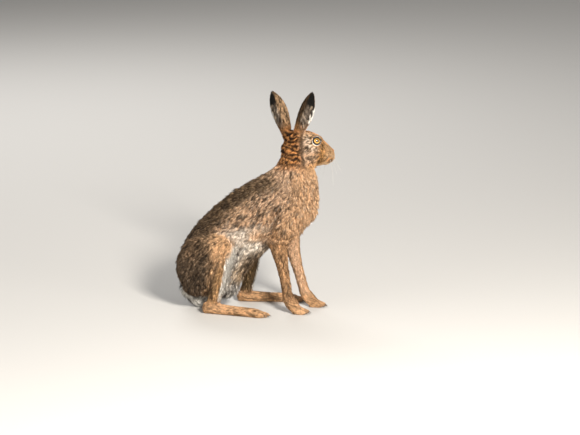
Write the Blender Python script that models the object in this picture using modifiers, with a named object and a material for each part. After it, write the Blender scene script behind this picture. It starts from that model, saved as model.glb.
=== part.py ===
"""A brown hare sitting up on straight forelegs, life size, as a still museum model.

The hare faces +X, its left side is +Y, up is +Z. All lengths below are written in centimetres and
become metres where a mesh is made. The flesh is a set of lofted forms fused into one surface, which is
then parted into named pieces by closed regions, with a thin gap left between neighbours.
"""

import math

import bmesh
import bpy
import numpy as np
from mathutils import Matrix, Vector

CM = 0.01
GAP = 0.03
VOXEL = 0.22
SMOOTH_PASSES = 8
SKIN_FACES = 5200

# Trunk ribs, tail end to throat: back x, back z, belly x, belly z, half width.
TRUNK_RIBS = (
    (-12.4, 3.9, -8.8, 2.4, 3.0),
    (-14.5, 6.3, -5.8, 2.2, 4.5),
    (-15.5, 9.8, -3.2, 3.2, 5.7),
    (-14.8, 13.9, -1.7, 6.2, 6.3),
    (-12.3, 18.2, 0.1, 9.0, 6.4),
    (-8.7, 22.0, 2.3, 11.6, 6.1),
    (-4.2, 25.9, 5.0, 14.1, 5.7),
    (0.0, 28.7, 8.4, 15.9, 5.4),
    (3.6, 30.7, 12.6, 19.1, 5.0),
    (5.9, 32.6, 14.9, 22.0, 4.6),
    (6.8, 34.2, 15.3, 25.4, 4.1),
    (7.2, 35.8, 15.1, 28.8, 3.5),
    (7.7, 37.0, 14.6, 31.6, 2.8),
)
NECK_TURN = (0.0,) * 9 + (2.0, 6.0, 12.0, 20.0)

# The head has its own frame at the top of the neck: forward, left, up.
HEAD_PIVOT = (8.95, 0.2, 36.3)
HEAD_TURN = 32.0
# Head ribs, nape to nose: top forward, top up, bottom forward, bottom up, half width.
HEAD_RIBS = (
    (-1.2, 1.5, 0.3, -3.4, 2.5),
    (-0.5, 3.2, 2.2, -4.2, 2.9),
    (1.6, 4.0, 3.9, -4.45, 3.1),
    (3.5, 4.0, 5.2, -4.5, 3.1),
    (5.3, 3.5, 6.4, -4.45, 2.8),
    (6.7, 2.75, 7.3, -4.3, 2.4),
    (7.9, 1.6, 8.2, -4.1, 2.0),
    (9.0, 0.55, 9.0, -3.75, 1.75),
    (9.8, -0.25, 9.6, -3.45, 1.5),
    (10.4, -1.0, 10.0, -3.0, 1.1),
)
# Swellings of the head: forward, side, up, then the three half sizes.
HEAD_SWELLINGS = {
    "brow": (5.1, 1.5, 1.8, 2.2, 1.25, 1.4),
    "ear_root": (1.1, 1.2, 2.3, 1.8, 1.3, 1.7),
    "cheek": (4.3, 1.85, -1.7, 2.7, 1.35, 2.5),
    "whisker_pad": (9.2, 0.95, -2.35, 1.25, 0.95, 1.35),
    "nose_side": (9.9, 0.3, -1.25, 0.75, 0.55, 0.6),
    "chin": (8.6, 0.3, -3.6, 0.95, 0.7, 0.65),
}

# An eye and its lids, in the head's frame: middle, then the way it looks.
EYE_RADIUS = 0.96
EYE_PLACE = (5.35, 1.98, 2.0)
EYE_LOOK = (-0.10, 0.97, 0.18)
LID_THICKNESS = 0.17
LID_OPENING = (0.95, 0.86)
LID_SLANT = 12.0

# Grooves of the face: middle in the head's frame, half sizes, then turns about side and forward axes.
MOUTH = ((9.5, 0.62, -3.35), (1.3, 1.05, 0.055), -8.0, -20.0)
PHILTRUM = ((10.5, 0.0, -2.45), (0.5, 0.05, 0.75), 0.0, 0.0)
NOSTRIL = ((10.5, 0.4, -1.5), (0.5, 0.07, 0.3), 0.0, -40.0)

# Ears: base place, tip offset, opening direction, all in the head's frame.
EARS = {
    "right": {"base": (1.0, -1.15, 2.2), "reach": (3.25, -2.9, 11.2), "open": (0.87, 0.5, 0.0), "bow": -0.55},
    "left": {"base": (0.55, 1.5, 1.7), "reach": (-2.6, 3.6, 10.8), "open": (0.42, 0.91, 0.0), "bow": 0.0},
}
# Along an ear: share of the length, half width of the blade, half angle that the blade wraps.
EAR_STATIONS = (
    (0.0, 1.1, 158.0),
    (0.16, 1.15, 150.0),
    (0.32, 1.48, 120.0),
    (0.50, 1.78, 98.0),
    (0.68, 1.76, 84.0),
    (0.83, 1.36, 76.0),
    (0.94, 0.78, 70.0),
    (1.0, 0.26, 66.0),
)
EAR_WALL = 0.24
EAR_FLATTEN = 0.8
EAR_BACK = 0.95

# Limb tubes: x, side, z of the middle line, then half depth and half width.
THIGH = {
    "right": (
        (-11.6, 4.1, 5.9, 2.9, 2.5),
        (-11.2, 4.7, 9.4, 4.6, 3.2),
        (-9.7, 5.1, 12.8, 4.8, 3.2),
        (-6.9, 5.8, 14.9, 3.3, 2.6),
        (-5.1, 6.2, 15.3, 2.5, 2.0),
    ),
    "left": (
        (-11.2, 4.1, 5.9, 2.9, 2.5),
        (-9.8, 4.8, 9.4, 4.8, 3.3),
        (-6.6, 5.3, 12.9, 5.1, 3.3),
        (-2.2, 6.0, 14.9, 3.3, 2.5),
        (-0.4, 6.3, 15.5, 2.4, 1.9),
    ),
}
SHANK = {
    "right": (
        (-5.1, 6.2, 15.2, 2.5, 1.9),
        (-5.6, 6.2, 12.0, 2.3, 1.7),
        (-6.2, 6.0, 8.0, 1.95, 1.45),
        (-6.8, 5.8, 4.2, 1.55, 1.25),
        (-7.7, 5.8, 1.9, 1.35, 1.15),
    ),
    "left": (
        (-0.2, 6.3, 15.2, 2.4, 1.9),
        (-0.3, 6.3, 11.5, 2.0, 1.7),
        (-0.7, 6.0, 7.5, 1.6, 1.35),
        (-1.4, 5.7, 3.8, 1.35, 1.15),
        (-2.1, 5.6, 1.9, 1.3, 1.15),
    ),
}
# A hind foot from its heel: distance forward, z, half height, half width.
HIND_FOOT = (
    (0.0, 1.3, 1.4, 1.1),
    (2.4, 1.15, 1.3, 1.25),
    (6.5, 0.9, 1.15, 1.35),
    (10.2, 0.8, 1.05, 1.65),
    (12.2, 0.65, 0.9, 1.6),
)
HIND_HEEL = {"right": (-8.9, 5.8), "left": (-2.9, 5.8)}
HIND_SPLAY = 8.0
FOREARM = {
    "right": (
        (6.7, 4.3, 17.2, 2.5, 1.9),
        (7.3, 4.0, 13.6, 1.75, 1.55),
        (8.0, 3.7, 9.8, 1.3, 1.25),
        (8.6, 3.5, 6.2, 1.15, 1.15),
        (9.1, 3.5, 3.2, 1.2, 1.15),
    ),
    "left": (
        (8.2, 4.3, 17.4, 2.5, 1.9),
        (9.0, 3.9, 13.2, 1.7, 1.5),
        (10.0, 3.6, 9.4, 1.25, 1.25),
        (11.0, 3.5, 6.0, 1.15, 1.15),
        (11.8, 3.5, 3.2, 1.2, 1.15),
    ),
}
# A forepaw from its wrist: distance forward, z, half height, half width.
FOREPAW = (
    (-0.1, 3.4, 1.25, 1.15),
    (0.9, 2.0, 1.35, 1.2),
    (2.2, 0.85, 1.15, 1.3),
    (3.1, 0.65, 0.9, 1.25),
)
WRIST = {"right": (9.0, 3.5), "left": (11.8, 3.5)}
SHOULDER = (
    (9.6, 3.3, 26.6, 2.2, 1.5),
    (11.0, 3.7, 23.6, 3.0, 1.8),
    (9.6, 4.2, 20.6, 3.2, 1.9),
    (7.6, 4.4, 18.0, 2.6, 1.8),
)
TAIL = (
    (-13.6, 0.0, 7.4, 1.3, 1.3),
    (-13.8, 0.0, 4.9, 1.6, 1.6),
    (-12.9, 0.0, 2.7, 1.6, 1.7),
    (-11.4, 0.0, 1.4, 1.4, 1.5),
    (-10.0, 0.0, 0.9, 1.05, 1.1),
)

# Toes: reach past the foot's last ring, side spread, half width, for the four long toes of a foot.
TOE_SPREAD = (-1.15, -0.42, 0.38, 1.08)
HIND_TOE_REACH = (1.25, 1.9, 1.75, 1.1)
FORE_TOE_REACH = (0.75, 1.3, 1.2, 0.7)
TOE_HALF = 0.5
CLAW_LENGTH = 0.75
CLAW_RADIUS = 0.17
CLAW_RISE = 0.5

# Where the feet and forelegs part: two corners of the box round each piece, y away from the middle.
BOXES = {
    "right": {
        "forepaw": ((6.5, 1.6, -1.0), (16.0, 6.5, 3.2)),
        "foreleg": ((5.4, 1.8, 2.9), (13.0, 6.6, 13.4)),
        "hindfoot": ((-12.0, 3.9, -1.0), (8.5, 10.0, 3.0)),
    },
    "left": {
        "forepaw": ((9.5, 1.6, -1.0), (19.0, 5.2, 3.2)),
        "foreleg": ((6.6, 1.8, 2.9), (16.0, 6.6, 13.2)),
        "hindfoot": ((-5.5, 3.9, -1.0), (14.5, 10.0, 3.0)),
    },
}
# Planes through the neck: a point and the way past it.
PLANES = {
    "head": ((11.2, 0.0, 33.7), (0.504, 0.0, 0.864)),
    "neck": ((10.3, 0.0, 27.7), (0.655, 0.0, 0.756)),
}
EAR_CUT = 0.2

SIDES = {"right": -1.0, "left": 1.0}
COLOURS = {
    "coat": (0.33, 0.21, 0.12),
    "coat_russet": (0.42, 0.21, 0.09),
    "ear": (0.30, 0.22, 0.15),
    "tail": (0.70, 0.66, 0.60),
    "eye": (0.55, 0.30, 0.05),
}


LOOKS = {
    "eye": ("eye", 0.12),
    "tail": ("tail", 0.9),
    "ear": ("ear", 0.85),
    "neck": ("coat_russet", 0.9),
    "shank": ("coat_russet", 0.9),
    "foreleg": ("coat_russet", 0.9),
    "forepaw": ("coat_russet", 0.9),
    "hindfoot": ("coat_russet", 0.9),
}


def clear_scene():
    for old in list(bpy.data.objects):
        bpy.data.objects.remove(old, do_unlink=True)


def collection(name):
    made = bpy.data.collections.new(name)
    bpy.context.scene.collection.children.link(made)
    return made


def material(name, colour, roughness):
    made = bpy.data.materials.new(name)
    made.use_nodes = True
    shader = made.node_tree.nodes["Principled BSDF"]
    shader.inputs["Base Color"].default_value = (*colour, 1.0)
    shader.inputs["Roughness"].default_value = roughness
    shader.inputs["Metallic"].default_value = 0.0
    return made


def head_point(forward, side, up):
    """A point of the head's frame, in the hare's frame."""
    turn = Matrix.Rotation(math.radians(HEAD_TURN), 3, "Z")
    return Vector(HEAD_PIVOT) + turn @ Vector((forward, side, up))


def head_direction(forward, side, up):
    return Matrix.Rotation(math.radians(HEAD_TURN), 3, "Z") @ Vector((forward, side, up))


def smooth_rows(rows, count):
    """Rows of numbers read at count even steps from a smooth curve through them."""
    rows = np.array(rows, float)
    padded = np.vstack([2 * rows[0] - rows[1], rows, 2 * rows[-1] - rows[-2]])
    made = []
    for t in np.linspace(0, len(rows) - 1, count):
        k = min(int(t), len(rows) - 2)
        u = t - k
        a, b, c, d = padded[k : k + 4]
        made.append(
            0.5 * (2 * b + (c - a) * u + (2 * a - 5 * b + 4 * c - d) * u**2 + (3 * b - a - 3 * c + d) * u**3)
        )
    return np.array(made)


def mesh_object(name, points, faces, group):
    """An object from points in centimetres."""
    mesh = bpy.data.meshes.new(name)
    mesh.from_pydata([tuple(c * CM for c in p) for p in points], [], faces)
    mesh.update()
    made = bpy.data.objects.new(name, mesh)
    group.objects.link(made)
    return made


def loft(name, rings, group, domes=(0.5, 0.5), segments=24):
    """A closed form through elliptical rings (middle, half axis a, half axis b), with a dome at each end.
    A dome's length is a share of its ring's half axis b. A dome of 0 is a flat end."""
    rings = [tuple(np.array(v, float) for v in ring) for ring in rings]
    dome_steps = 4
    all_rings = []
    for end, share in ((0, domes[0]), (-1, domes[1])):
        middle, a, b = rings[end]
        outward = middle - rings[1 if end == 0 else -2][0]
        outward /= np.linalg.norm(outward)
        length = share * np.linalg.norm(b)
        extra = []
        for k in range(1, dome_steps if share else 0):
            angle = math.radians(90.0 * k / dome_steps)
            shrink = math.cos(angle)
            extra.append((middle + outward * length * math.sin(angle), a * shrink, b * shrink))
        pole = middle + outward * length
        all_rings.append((extra, pole))
    ordered = list(reversed(all_rings[0][0])) + rings + all_rings[1][0]
    points = []
    for middle, a, b in ordered:
        for k in range(segments):
            angle = 2 * math.pi * k / segments
            points.append(middle + a * math.cos(angle) + b * math.sin(angle))
    faces = []
    for r in range(len(ordered) - 1):
        for k in range(segments):
            following = (k + 1) % segments
            low, high = r * segments, (r + 1) * segments
            faces.append((low + k, low + following, high + following, high + k))
    first, last = len(points), len(points) + 1
    points += [all_rings[0][1], all_rings[1][1]]
    top = (len(ordered) - 1) * segments
    for k in range(segments):
        following = (k + 1) % segments
        faces.append((first, following, k))
        faces.append((last, top + k, top + following))
    made = mesh_object(name, points, faces, group)
    face_outwards(made)
    return made


def face_outwards(obj):
    edit = bmesh.new()
    edit.from_mesh(obj.data)
    bmesh.ops.recalc_face_normals(edit, faces=edit.faces)
    if edit.calc_volume(signed=True) < 0:
        bmesh.ops.reverse_faces(edit, faces=edit.faces)
    edit.to_mesh(obj.data)
    edit.free()


def tube(name, stations, side, group, rings=14, domes=(0.8, 0.8), segments=24):
    """A limb: stations of x, side distance, z, half depth and half width."""
    rows = smooth_rows(stations, rings)
    middles = rows[:, :3] * (1.0, side, 1.0)
    along = np.gradient(middles, axis=0)
    made = []
    for middle, way, row in zip(middles, along, rows):
        way = way / np.linalg.norm(way)
        across = np.cross(way, (0.0, 1.0, 0.0))
        across /= np.linalg.norm(across)
        lateral = np.cross(across, way)
        made.append((middle, lateral * row[4], across * row[3]))
    return loft(name, made, group, domes, segments)


def ellipsoid(name, middle, halves, group, turn=0.0, segments=24):
    bpy.ops.mesh.primitive_uv_sphere_add(segments=segments, ring_count=segments // 2, radius=1.0)
    made = bpy.context.object
    made.name = name
    for owner in list(made.users_collection):
        owner.objects.unlink(made)
    group.objects.link(made)
    spin = Matrix.Rotation(math.radians(turn), 4, "Z")
    size = Matrix.Diagonal((*(h * CM for h in halves), 1.0))
    made.data.transform(Matrix.Translation(Vector(middle) * CM) @ spin @ size)
    return made


def join(name, group):
    """All the meshes of a collection as one object, each still a closed form."""
    edit = bmesh.new()
    for obj in list(group.objects):
        copy = obj.data.copy()
        copy.transform(obj.matrix_world)
        edit.from_mesh(copy)
        bpy.data.meshes.remove(copy)
        bpy.data.objects.remove(obj, do_unlink=True)
    mesh = bpy.data.meshes.new(name)
    edit.to_mesh(mesh)
    edit.free()
    made = bpy.data.objects.new(name, mesh)
    group.objects.link(made)
    return made


def apply_modifiers(obj):
    """Replaces the object's mesh by what its modifiers make of it."""
    bpy.context.view_layer.update()
    graph = bpy.context.evaluated_depsgraph_get()
    mesh = bpy.data.meshes.new_from_object(obj.evaluated_get(graph))
    obj.modifiers.clear()
    obj.data = mesh
    return obj


def boolean(obj, tool, operation):
    made = obj.modifiers.new(operation.lower(), "BOOLEAN")
    made.operation = operation
    made.solver = "EXACT"
    made.object = tool
    return apply_modifiers(obj)


def keep_largest(obj):
    """Drops every closed surface but the largest, such as a scrap that a cut leaves."""
    edit = bmesh.new()
    edit.from_mesh(obj.data)
    unseen = set(edit.faces)
    islands = []
    while unseen:
        stack = [unseen.pop()]
        island = []
        while stack:
            face = stack.pop()
            island.append(face)
            for edge in face.edges:
                for other in edge.link_faces:
                    if other in unseen:
                        unseen.remove(other)
                        stack.append(other)
        islands.append(island)
    islands.sort(key=lambda faces: sum(face.calc_area() for face in faces))
    for island in islands[:-1]:
        bmesh.ops.delete(edit, geom=island, context="FACES")
    edit.to_mesh(obj.data)
    edit.free()
    return obj


def trunk(group):
    rings = []
    for (bx, bz, fx, fz, half), turn in zip(
        smooth_rows(TRUNK_RIBS, 34), smooth_rows([(t,) for t in NECK_TURN], 34)
    ):
        middle = np.array(((bx + fx) / 2, 0.0, (bz + fz) / 2))
        depth = np.array(((bx - fx) / 2, 0.0, (bz - fz) / 2))
        spin = np.array(Matrix.Rotation(math.radians(turn[0]), 3, "Z"))
        rings.append((middle, spin @ np.array((0.0, half, 0.0)), spin @ depth))
    loft("trunk", rings, group, domes=(0.55, 0.3), segments=32)


def head(group):
    rings = []
    for tf, tu, bf, bu, half in smooth_rows(HEAD_RIBS, 26):
        top, bottom = head_point(tf, 0.0, tu), head_point(bf, 0.0, bu)
        rings.append(((top + bottom) / 2, head_direction(0.0, half, 0.0), (top - bottom) / 2))
    loft("head_form", rings, group, domes=(0.5, 0.3), segments=28)
    for name, (forward, side, up, *halves) in HEAD_SWELLINGS.items():
        for sign in SIDES.values():
            ellipsoid(name, head_point(forward, side * sign, up), halves, group, turn=HEAD_TURN)


def foot(name, stations, start, side, splay, toe_reach, group):
    """A foot and its four toes, on a line that turns outward by splay degrees."""
    x0, y0 = start
    out = math.radians(splay)
    rows = [
        (x0 + d * math.cos(out), y0 + d * math.sin(out), z, high, wide) for d, z, high, wide in stations
    ]
    tube(name, rows, side, group, domes=(0.7, 0.4))
    last = stations[-1]
    for spread, reach in zip(TOE_SPREAD, toe_reach):
        toe = []
        for along in (-1.6, 0.0, reach):
            d = last[0] + along
            offset = spread * (0.82 if along < 0 else 1.0)
            toe.append(
                (
                    x0 + d * math.cos(out) - offset * math.sin(out),
                    y0 + d * math.sin(out) + offset * math.cos(out),
                    0.5,
                    0.65 if along < reach else 0.5,
                    TOE_HALF if along < reach else TOE_HALF * 0.85,
                )
            )
        tube(name + "_toe", toe, side, group, rings=6, domes=(0.8, 0.9), segments=14)


def toe_ends(stations, start, splay, toe_reach):
    """Where each toe ends, for its claw: x, y on the right-hand side pattern, and the way it points."""
    x0, y0 = start
    out = math.radians(splay)
    d = stations[-1][0]
    return [
        (
            x0 + (d + reach) * math.cos(out) - spread * math.sin(out),
            y0 + (d + reach) * math.sin(out) + spread * math.cos(out),
            out,
        )
        for spread, reach in zip(TOE_SPREAD, toe_reach)
    ]


def body_surface(group):
    """Every form of flesh fused into one closed surface of a fit number of faces."""
    trunk(group)
    head(group)
    for side_name, side in SIDES.items():
        tube("thigh", THIGH[side_name], side, group)
        tube("shank", SHANK[side_name], side, group)
        tube("forearm", FOREARM[side_name], side, group)
        tube("shoulder", SHOULDER, side, group)
        foot("hind_foot", HIND_FOOT, HIND_HEEL[side_name], side, HIND_SPLAY, HIND_TOE_REACH, group)
        foot("forepaw", FOREPAW, WRIST[side_name], side, 0.0, FORE_TOE_REACH, group)
    tube("tail", TAIL, 1.0, group)
    skin = join("skin", group)
    fuse = skin.modifiers.new("fuse", "REMESH")
    fuse.mode = "VOXEL"
    fuse.voxel_size = VOXEL * CM
    soften = skin.modifiers.new("soften", "SMOOTH")
    soften.factor = 0.5
    soften.iterations = SMOOTH_PASSES
    apply_modifiers(skin)
    thin = skin.modifiers.new("thin", "DECIMATE")
    thin.ratio = SKIN_FACES / (2 * len(skin.data.polygons))
    apply_modifiers(skin)
    return skin


def from_axes(x_axis, y_axis, z_axis, middle):
    """The matrix that carries a primitive's own axes to these, at a middle in centimetres."""
    columns = (Vector(x_axis), Vector(y_axis), Vector(z_axis))
    return Matrix.Translation(Vector(middle) * CM) @ Matrix(columns).transposed().to_4x4()


def take_over(name, group):
    """Names the primitive just added and moves it to a collection."""
    made = bpy.context.object
    made.name = name
    for owner in list(made.users_collection):
        owner.objects.unlink(made)
    group.objects.link(made)
    return made


def box_beyond(name, middle, way, reach, half, group):
    """A box that starts at a plane through middle and reaches along way, half its width to each side."""
    way = Vector(way).normalized()
    across = way.cross(Vector((0.0, 1.0, 0.0))).normalized()
    bpy.ops.mesh.primitive_cube_add(size=1.0)
    made = take_over(name, group)
    size = Matrix.Diagonal((2 * half * CM, 2 * half * CM, reach * CM, 1.0))
    made.data.transform(from_axes(across, way.cross(across), way, Vector(middle) + way * (reach / 2)) @ size)
    return made


def box(name, low, high, side, group):
    """A box between two corners, its y turned to one side of the hare."""
    low, high = Vector(low), Vector(high)
    middle = (low + high) / 2
    bpy.ops.mesh.primitive_cube_add(size=1.0)
    made = take_over(name, group)
    place = Matrix.Translation(Vector((middle.x, middle.y * side, middle.z)) * CM)
    made.data.transform(place @ Matrix.Diagonal((*((high - low) * CM), 1.0)))
    return made


def ear(name, spec, side, group):
    """One ear as a thin blade wrapped about its length, open to the front like a scoop."""
    base = head_point(*spec["base"])
    reach = head_direction(*spec["reach"])
    way = reach.normalized()
    opening = head_direction(*spec["open"])
    opening = (opening - way * opening.dot(way)).normalized()
    lateral = way.cross(opening)
    rows = smooth_rows(EAR_STATIONS, 13)
    turns = np.linspace(-1.0, 1.0, 11)
    outer, inner = [], []
    for share, half, wrap in rows:
        wrap = math.radians(wrap)
        radius = half / math.sin(min(wrap, math.pi / 2))
        wall = min(EAR_WALL, 0.45 * radius)
        middle = base + reach * share + opening * (spec["bow"] * 4 * share * (1 - share))
        for points, r in ((outer, radius), (inner, radius - wall)):
            for turn in turns:
                angle = wrap * turn
                back = EAR_FLATTEN * (r * math.cos(angle) - radius) + EAR_BACK
                points.append(middle + lateral * (r * math.sin(angle)) - opening * back)
    count, across = len(rows), len(turns)
    points = outer + inner
    shift = count * across
    faces = []
    for r in range(count - 1):
        for k in range(across - 1):
            a, b = r * across + k, r * across + k + 1
            c, d = a + across, b + across
            faces.append((a, b, d, c))
            faces.append((a + shift, c + shift, d + shift, b + shift))
        for k in (0, across - 1):
            a, c = r * across + k, (r + 1) * across + k
            faces.append((a, c, c + shift, a + shift))
    for k in range(across - 1):
        for r in (0, count - 1):
            a, b = r * across + k, r * across + k + 1
            faces.append((a, b, b + shift, a + shift))
    made = mesh_object(name, points, faces, group)
    face_outwards(made)
    return made


def eye_axes(sign):
    """An eye's middle, the way it looks, and the two axes of its opening."""
    middle = head_point(EYE_PLACE[0], EYE_PLACE[1] * sign, EYE_PLACE[2])
    look = head_direction(EYE_LOOK[0], EYE_LOOK[1] * sign, EYE_LOOK[2]).normalized()
    along = Vector((0.0, 0.0, 1.0)).cross(look).normalized() * -sign
    rise = look.cross(along).normalized()
    if rise.z < 0:
        rise.negate()
    slant = math.radians(LID_SLANT)
    along, rise = (
        along * math.cos(slant) + rise * math.sin(slant) * -1.0,
        rise * math.cos(slant) + along * math.sin(slant),
    )
    return middle, look, along, rise


def ball(name, middle, radius, group, segments=18):
    return ellipsoid(name, middle, (radius,) * 3, group, segments=segments)


def add_lids(skin, group):
    """The lids as a ball around each eye, fused with the head; the openings are cut later."""
    for sign in SIDES.values():
        middle = eye_axes(sign)[0]
        lid = ball("lid", middle, EYE_RADIUS + GAP + LID_THICKNESS, group, segments=20)
        boolean(skin, lid, "UNION")
        bpy.data.objects.remove(lid, do_unlink=True)


def cut_eyes(head_node, group):
    for sign in SIDES.values():
        middle, look, along, rise = eye_axes(sign)
        socket = ball("socket", middle, EYE_RADIUS + GAP, group, segments=18)
        boolean(head_node, socket, "DIFFERENCE")
        bpy.data.objects.remove(socket, do_unlink=True)
        bpy.ops.mesh.primitive_cylinder_add(vertices=20, radius=1.0, depth=1.0)
        opening = take_over("opening", group)
        size = Matrix.Diagonal((LID_OPENING[0] * CM, LID_OPENING[1] * CM, 3.0 * CM, 1.0))
        opening.data.transform(from_axes(along, rise, look, middle + look * 1.8) @ size)
        face_outwards(opening)
        boolean(head_node, opening, "DIFFERENCE")
        bpy.data.objects.remove(opening, do_unlink=True)


def cut_groove(head_node, spec, sign, group):
    """A thin lens-shaped cut for the mouth, the split lip or a nostril."""
    (forward, side, up), halves, pitch, roll = spec
    groove = ellipsoid("groove", (0.0, 0.0, 0.0), halves, group, segments=12)
    spin = Matrix.Rotation(math.radians(pitch), 4, "Y") @ Matrix.Rotation(math.radians(roll * sign), 4, "X")
    turn = Matrix.Rotation(math.radians(HEAD_TURN), 4, "Z")
    place = Matrix.Translation(head_point(forward, side * sign, up) * CM)
    groove.data.transform(place @ turn @ spin)
    boolean(head_node, groove, "DIFFERENCE")
    bpy.data.objects.remove(groove, do_unlink=True)


def claws(node, stations, start, splay, toe_reach, sign, group):
    """A short claw at the end of each toe, fused with the foot."""
    for x, y, out in toe_ends(stations, start, splay, toe_reach):
        way = Vector((math.cos(out), math.sin(out) * sign, -0.30)).normalized()
        across = way.cross(Vector((0.0, 0.0, 1.0))).normalized()
        bpy.ops.mesh.primitive_cone_add(
            vertices=8, radius1=CLAW_RADIUS * CM, radius2=0.03 * CM, depth=CLAW_LENGTH * CM
        )
        claw = take_over("claw", group)
        middle = Vector((x, y * sign, CLAW_RISE)) + way * (CLAW_LENGTH * 0.28)
        claw.data.transform(from_axes(across, way.cross(across), way, middle))
        face_outwards(claw)
        boolean(node, claw, "UNION")
        bpy.data.objects.remove(claw, do_unlink=True)


def grown(stations, extra):
    """Limb stations with every half size larger."""
    return [(x, y, z, deep + extra, wide + extra) for x, y, z, deep, wide in stations]


def part_off(body, name, region, parts):
    """Splits the piece inside a region off the body, and leaves the gap between the two."""
    edit = bmesh.new()
    edit.from_mesh(region.data)
    bmesh.ops.triangulate(edit, faces=edit.faces)
    edit.to_mesh(region.data)
    piece = bpy.data.objects.new(name, body.data.copy())
    parts.objects.link(piece)
    boolean(piece, region, "INTERSECT")
    keep_largest(piece)
    edit.normal_update()
    moves = [vertex.normal * vertex.calc_shell_factor() * GAP * CM for vertex in edit.verts]
    for vertex, move in zip(edit.verts, moves):
        vertex.co += move
    edit.to_mesh(region.data)
    edit.free()
    boolean(body, region, "DIFFERENCE")
    keep_largest(body)
    bpy.data.objects.remove(region, do_unlink=True)
    return piece


def finish(node, colour, roughness):
    """A node's material and shading."""
    node.data.materials.clear()
    node.data.materials.append(material("mat_" + node.name, COLOURS[colour], roughness))
    node.data.shade_smooth()
    node.data.set_sharp_from_angle(angle=math.radians(50))


def main():
    clear_scene()
    parts = collection("brown_hare")
    tools = collection("tools")
    body = body_surface(tools)
    for side_name, sign in SIDES.items():
        blade = ear("ear_" + side_name, EARS[side_name], sign, tools)
        boolean(body, blade, "UNION")
        bpy.data.objects.remove(blade, do_unlink=True)
    add_lids(body, tools)
    bpy.ops.mesh.primitive_cube_add(size=1.0, location=(0.0, 0.0, -0.05), scale=(1.0, 1.0, 0.1))
    floor = take_over("floor", tools)
    boolean(body, floor, "DIFFERENCE")
    bpy.data.objects.remove(floor, do_unlink=True)
    keep_largest(body)

    nodes = {}
    for side_name, sign in SIDES.items():
        reach = head_direction(*EARS[side_name]["reach"])
        start = head_point(*EARS[side_name]["base"]) + reach * EAR_CUT
        name = "ear_" + side_name
        nodes[name] = part_off(body, name, box_beyond("region", start, reach, 14.0, 2.2, tools), parts)
        for kind, corners in BOXES[side_name].items():
            name = kind + "_" + side_name
            nodes[name] = part_off(body, name, box("region", *corners, sign, tools), parts)
    for name, plane in PLANES.items():
        nodes[name] = part_off(body, name, box_beyond("region", *plane, 30.0, 14.0, tools), parts)
    tail_region = tube("region", grown(TAIL, 0.35), 1.0, tools, rings=7, segments=14)
    nodes["tail"] = part_off(body, "tail", tail_region, parts)
    for side_name, sign in SIDES.items():
        for kind, stations, margin in (("thigh", THIGH, 0.5), ("shank", SHANK, 0.7)):
            name = kind + "_" + side_name
            region = tube("region", grown(stations[side_name], margin), sign, tools, rings=8, segments=16)
            nodes[name] = part_off(body, name, region, parts)
    body.name = "torso"
    tools.objects.unlink(body)
    parts.objects.link(body)
    nodes["torso"] = body

    cut_eyes(nodes["head"], tools)
    cut_groove(nodes["head"], PHILTRUM, 1.0, tools)
    for sign in SIDES.values():
        cut_groove(nodes["head"], MOUTH, sign, tools)
        cut_groove(nodes["head"], NOSTRIL, sign, tools)
    keep_largest(nodes["head"])
    for side_name, sign in SIDES.items():
        nodes["eye_" + side_name] = ball("eye_" + side_name, eye_axes(sign)[0], EYE_RADIUS, parts)
        foot = nodes["hindfoot_" + side_name]
        claws(foot, HIND_FOOT, HIND_HEEL[side_name], HIND_SPLAY, HIND_TOE_REACH, sign, tools)
        paw = nodes["forepaw_" + side_name]
        claws(paw, FOREPAW, WRIST[side_name], 0.0, FORE_TOE_REACH, sign, tools)

    corners = [vertex.co for node in nodes.values() for vertex in node.data.vertices]
    low = Vector([min(c[k] for c in corners) for k in range(3)])
    high = Vector([max(c[k] for c in corners) for k in range(3)])
    shift = Vector((-(low.x + high.x) / 2, -(low.y + high.y) / 2, -low.z))
    for name, node in nodes.items():
        node.data.transform(Matrix.Translation(shift))
        colour, roughness = LOOKS.get(name.split("_")[0], ("coat", 0.9))
        finish(node, colour, roughness)


main()
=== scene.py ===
"""The looks of a sitting brown hare: one skin under a coat of solid tufts, eyes, lids, claws and whiskers.

Lengths are written in centimetres in the frame that the solids were designed in, and become metres in
the model's frame through place(). The head has its own axes: forward, left, up.
"""

import math

import bmesh
import bpy
import numpy as np
from mathutils import Matrix, Vector
from mathutils.kdtree import KDTree

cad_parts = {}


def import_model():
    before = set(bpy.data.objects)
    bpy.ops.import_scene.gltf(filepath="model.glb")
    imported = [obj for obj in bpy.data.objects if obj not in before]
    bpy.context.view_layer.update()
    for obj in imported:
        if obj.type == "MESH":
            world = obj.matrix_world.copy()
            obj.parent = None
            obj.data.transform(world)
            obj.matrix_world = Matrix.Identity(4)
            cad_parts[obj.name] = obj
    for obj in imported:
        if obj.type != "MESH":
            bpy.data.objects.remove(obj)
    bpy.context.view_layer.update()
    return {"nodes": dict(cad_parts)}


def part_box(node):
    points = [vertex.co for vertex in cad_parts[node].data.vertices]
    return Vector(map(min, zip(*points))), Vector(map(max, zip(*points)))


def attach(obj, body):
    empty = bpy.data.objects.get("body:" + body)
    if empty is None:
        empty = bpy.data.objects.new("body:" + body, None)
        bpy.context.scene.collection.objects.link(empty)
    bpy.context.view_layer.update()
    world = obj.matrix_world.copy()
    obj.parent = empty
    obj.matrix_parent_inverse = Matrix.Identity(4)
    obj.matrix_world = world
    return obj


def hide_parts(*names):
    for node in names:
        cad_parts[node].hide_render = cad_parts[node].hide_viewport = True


CM = 0.01
SEED = 7
HEAD_PIVOT = np.array((8.95, 0.2, 36.3))
HEAD_TURN = math.radians(32.0)
EYE_PLACE = (5.35, 1.98, 2.0)
EYE_LOWERED = 0.22
EYE_LOOK = (-0.10, 0.97, 0.18)
EYE_RADIUS = 0.96
LID_SLANT = math.radians(12.0)
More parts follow.
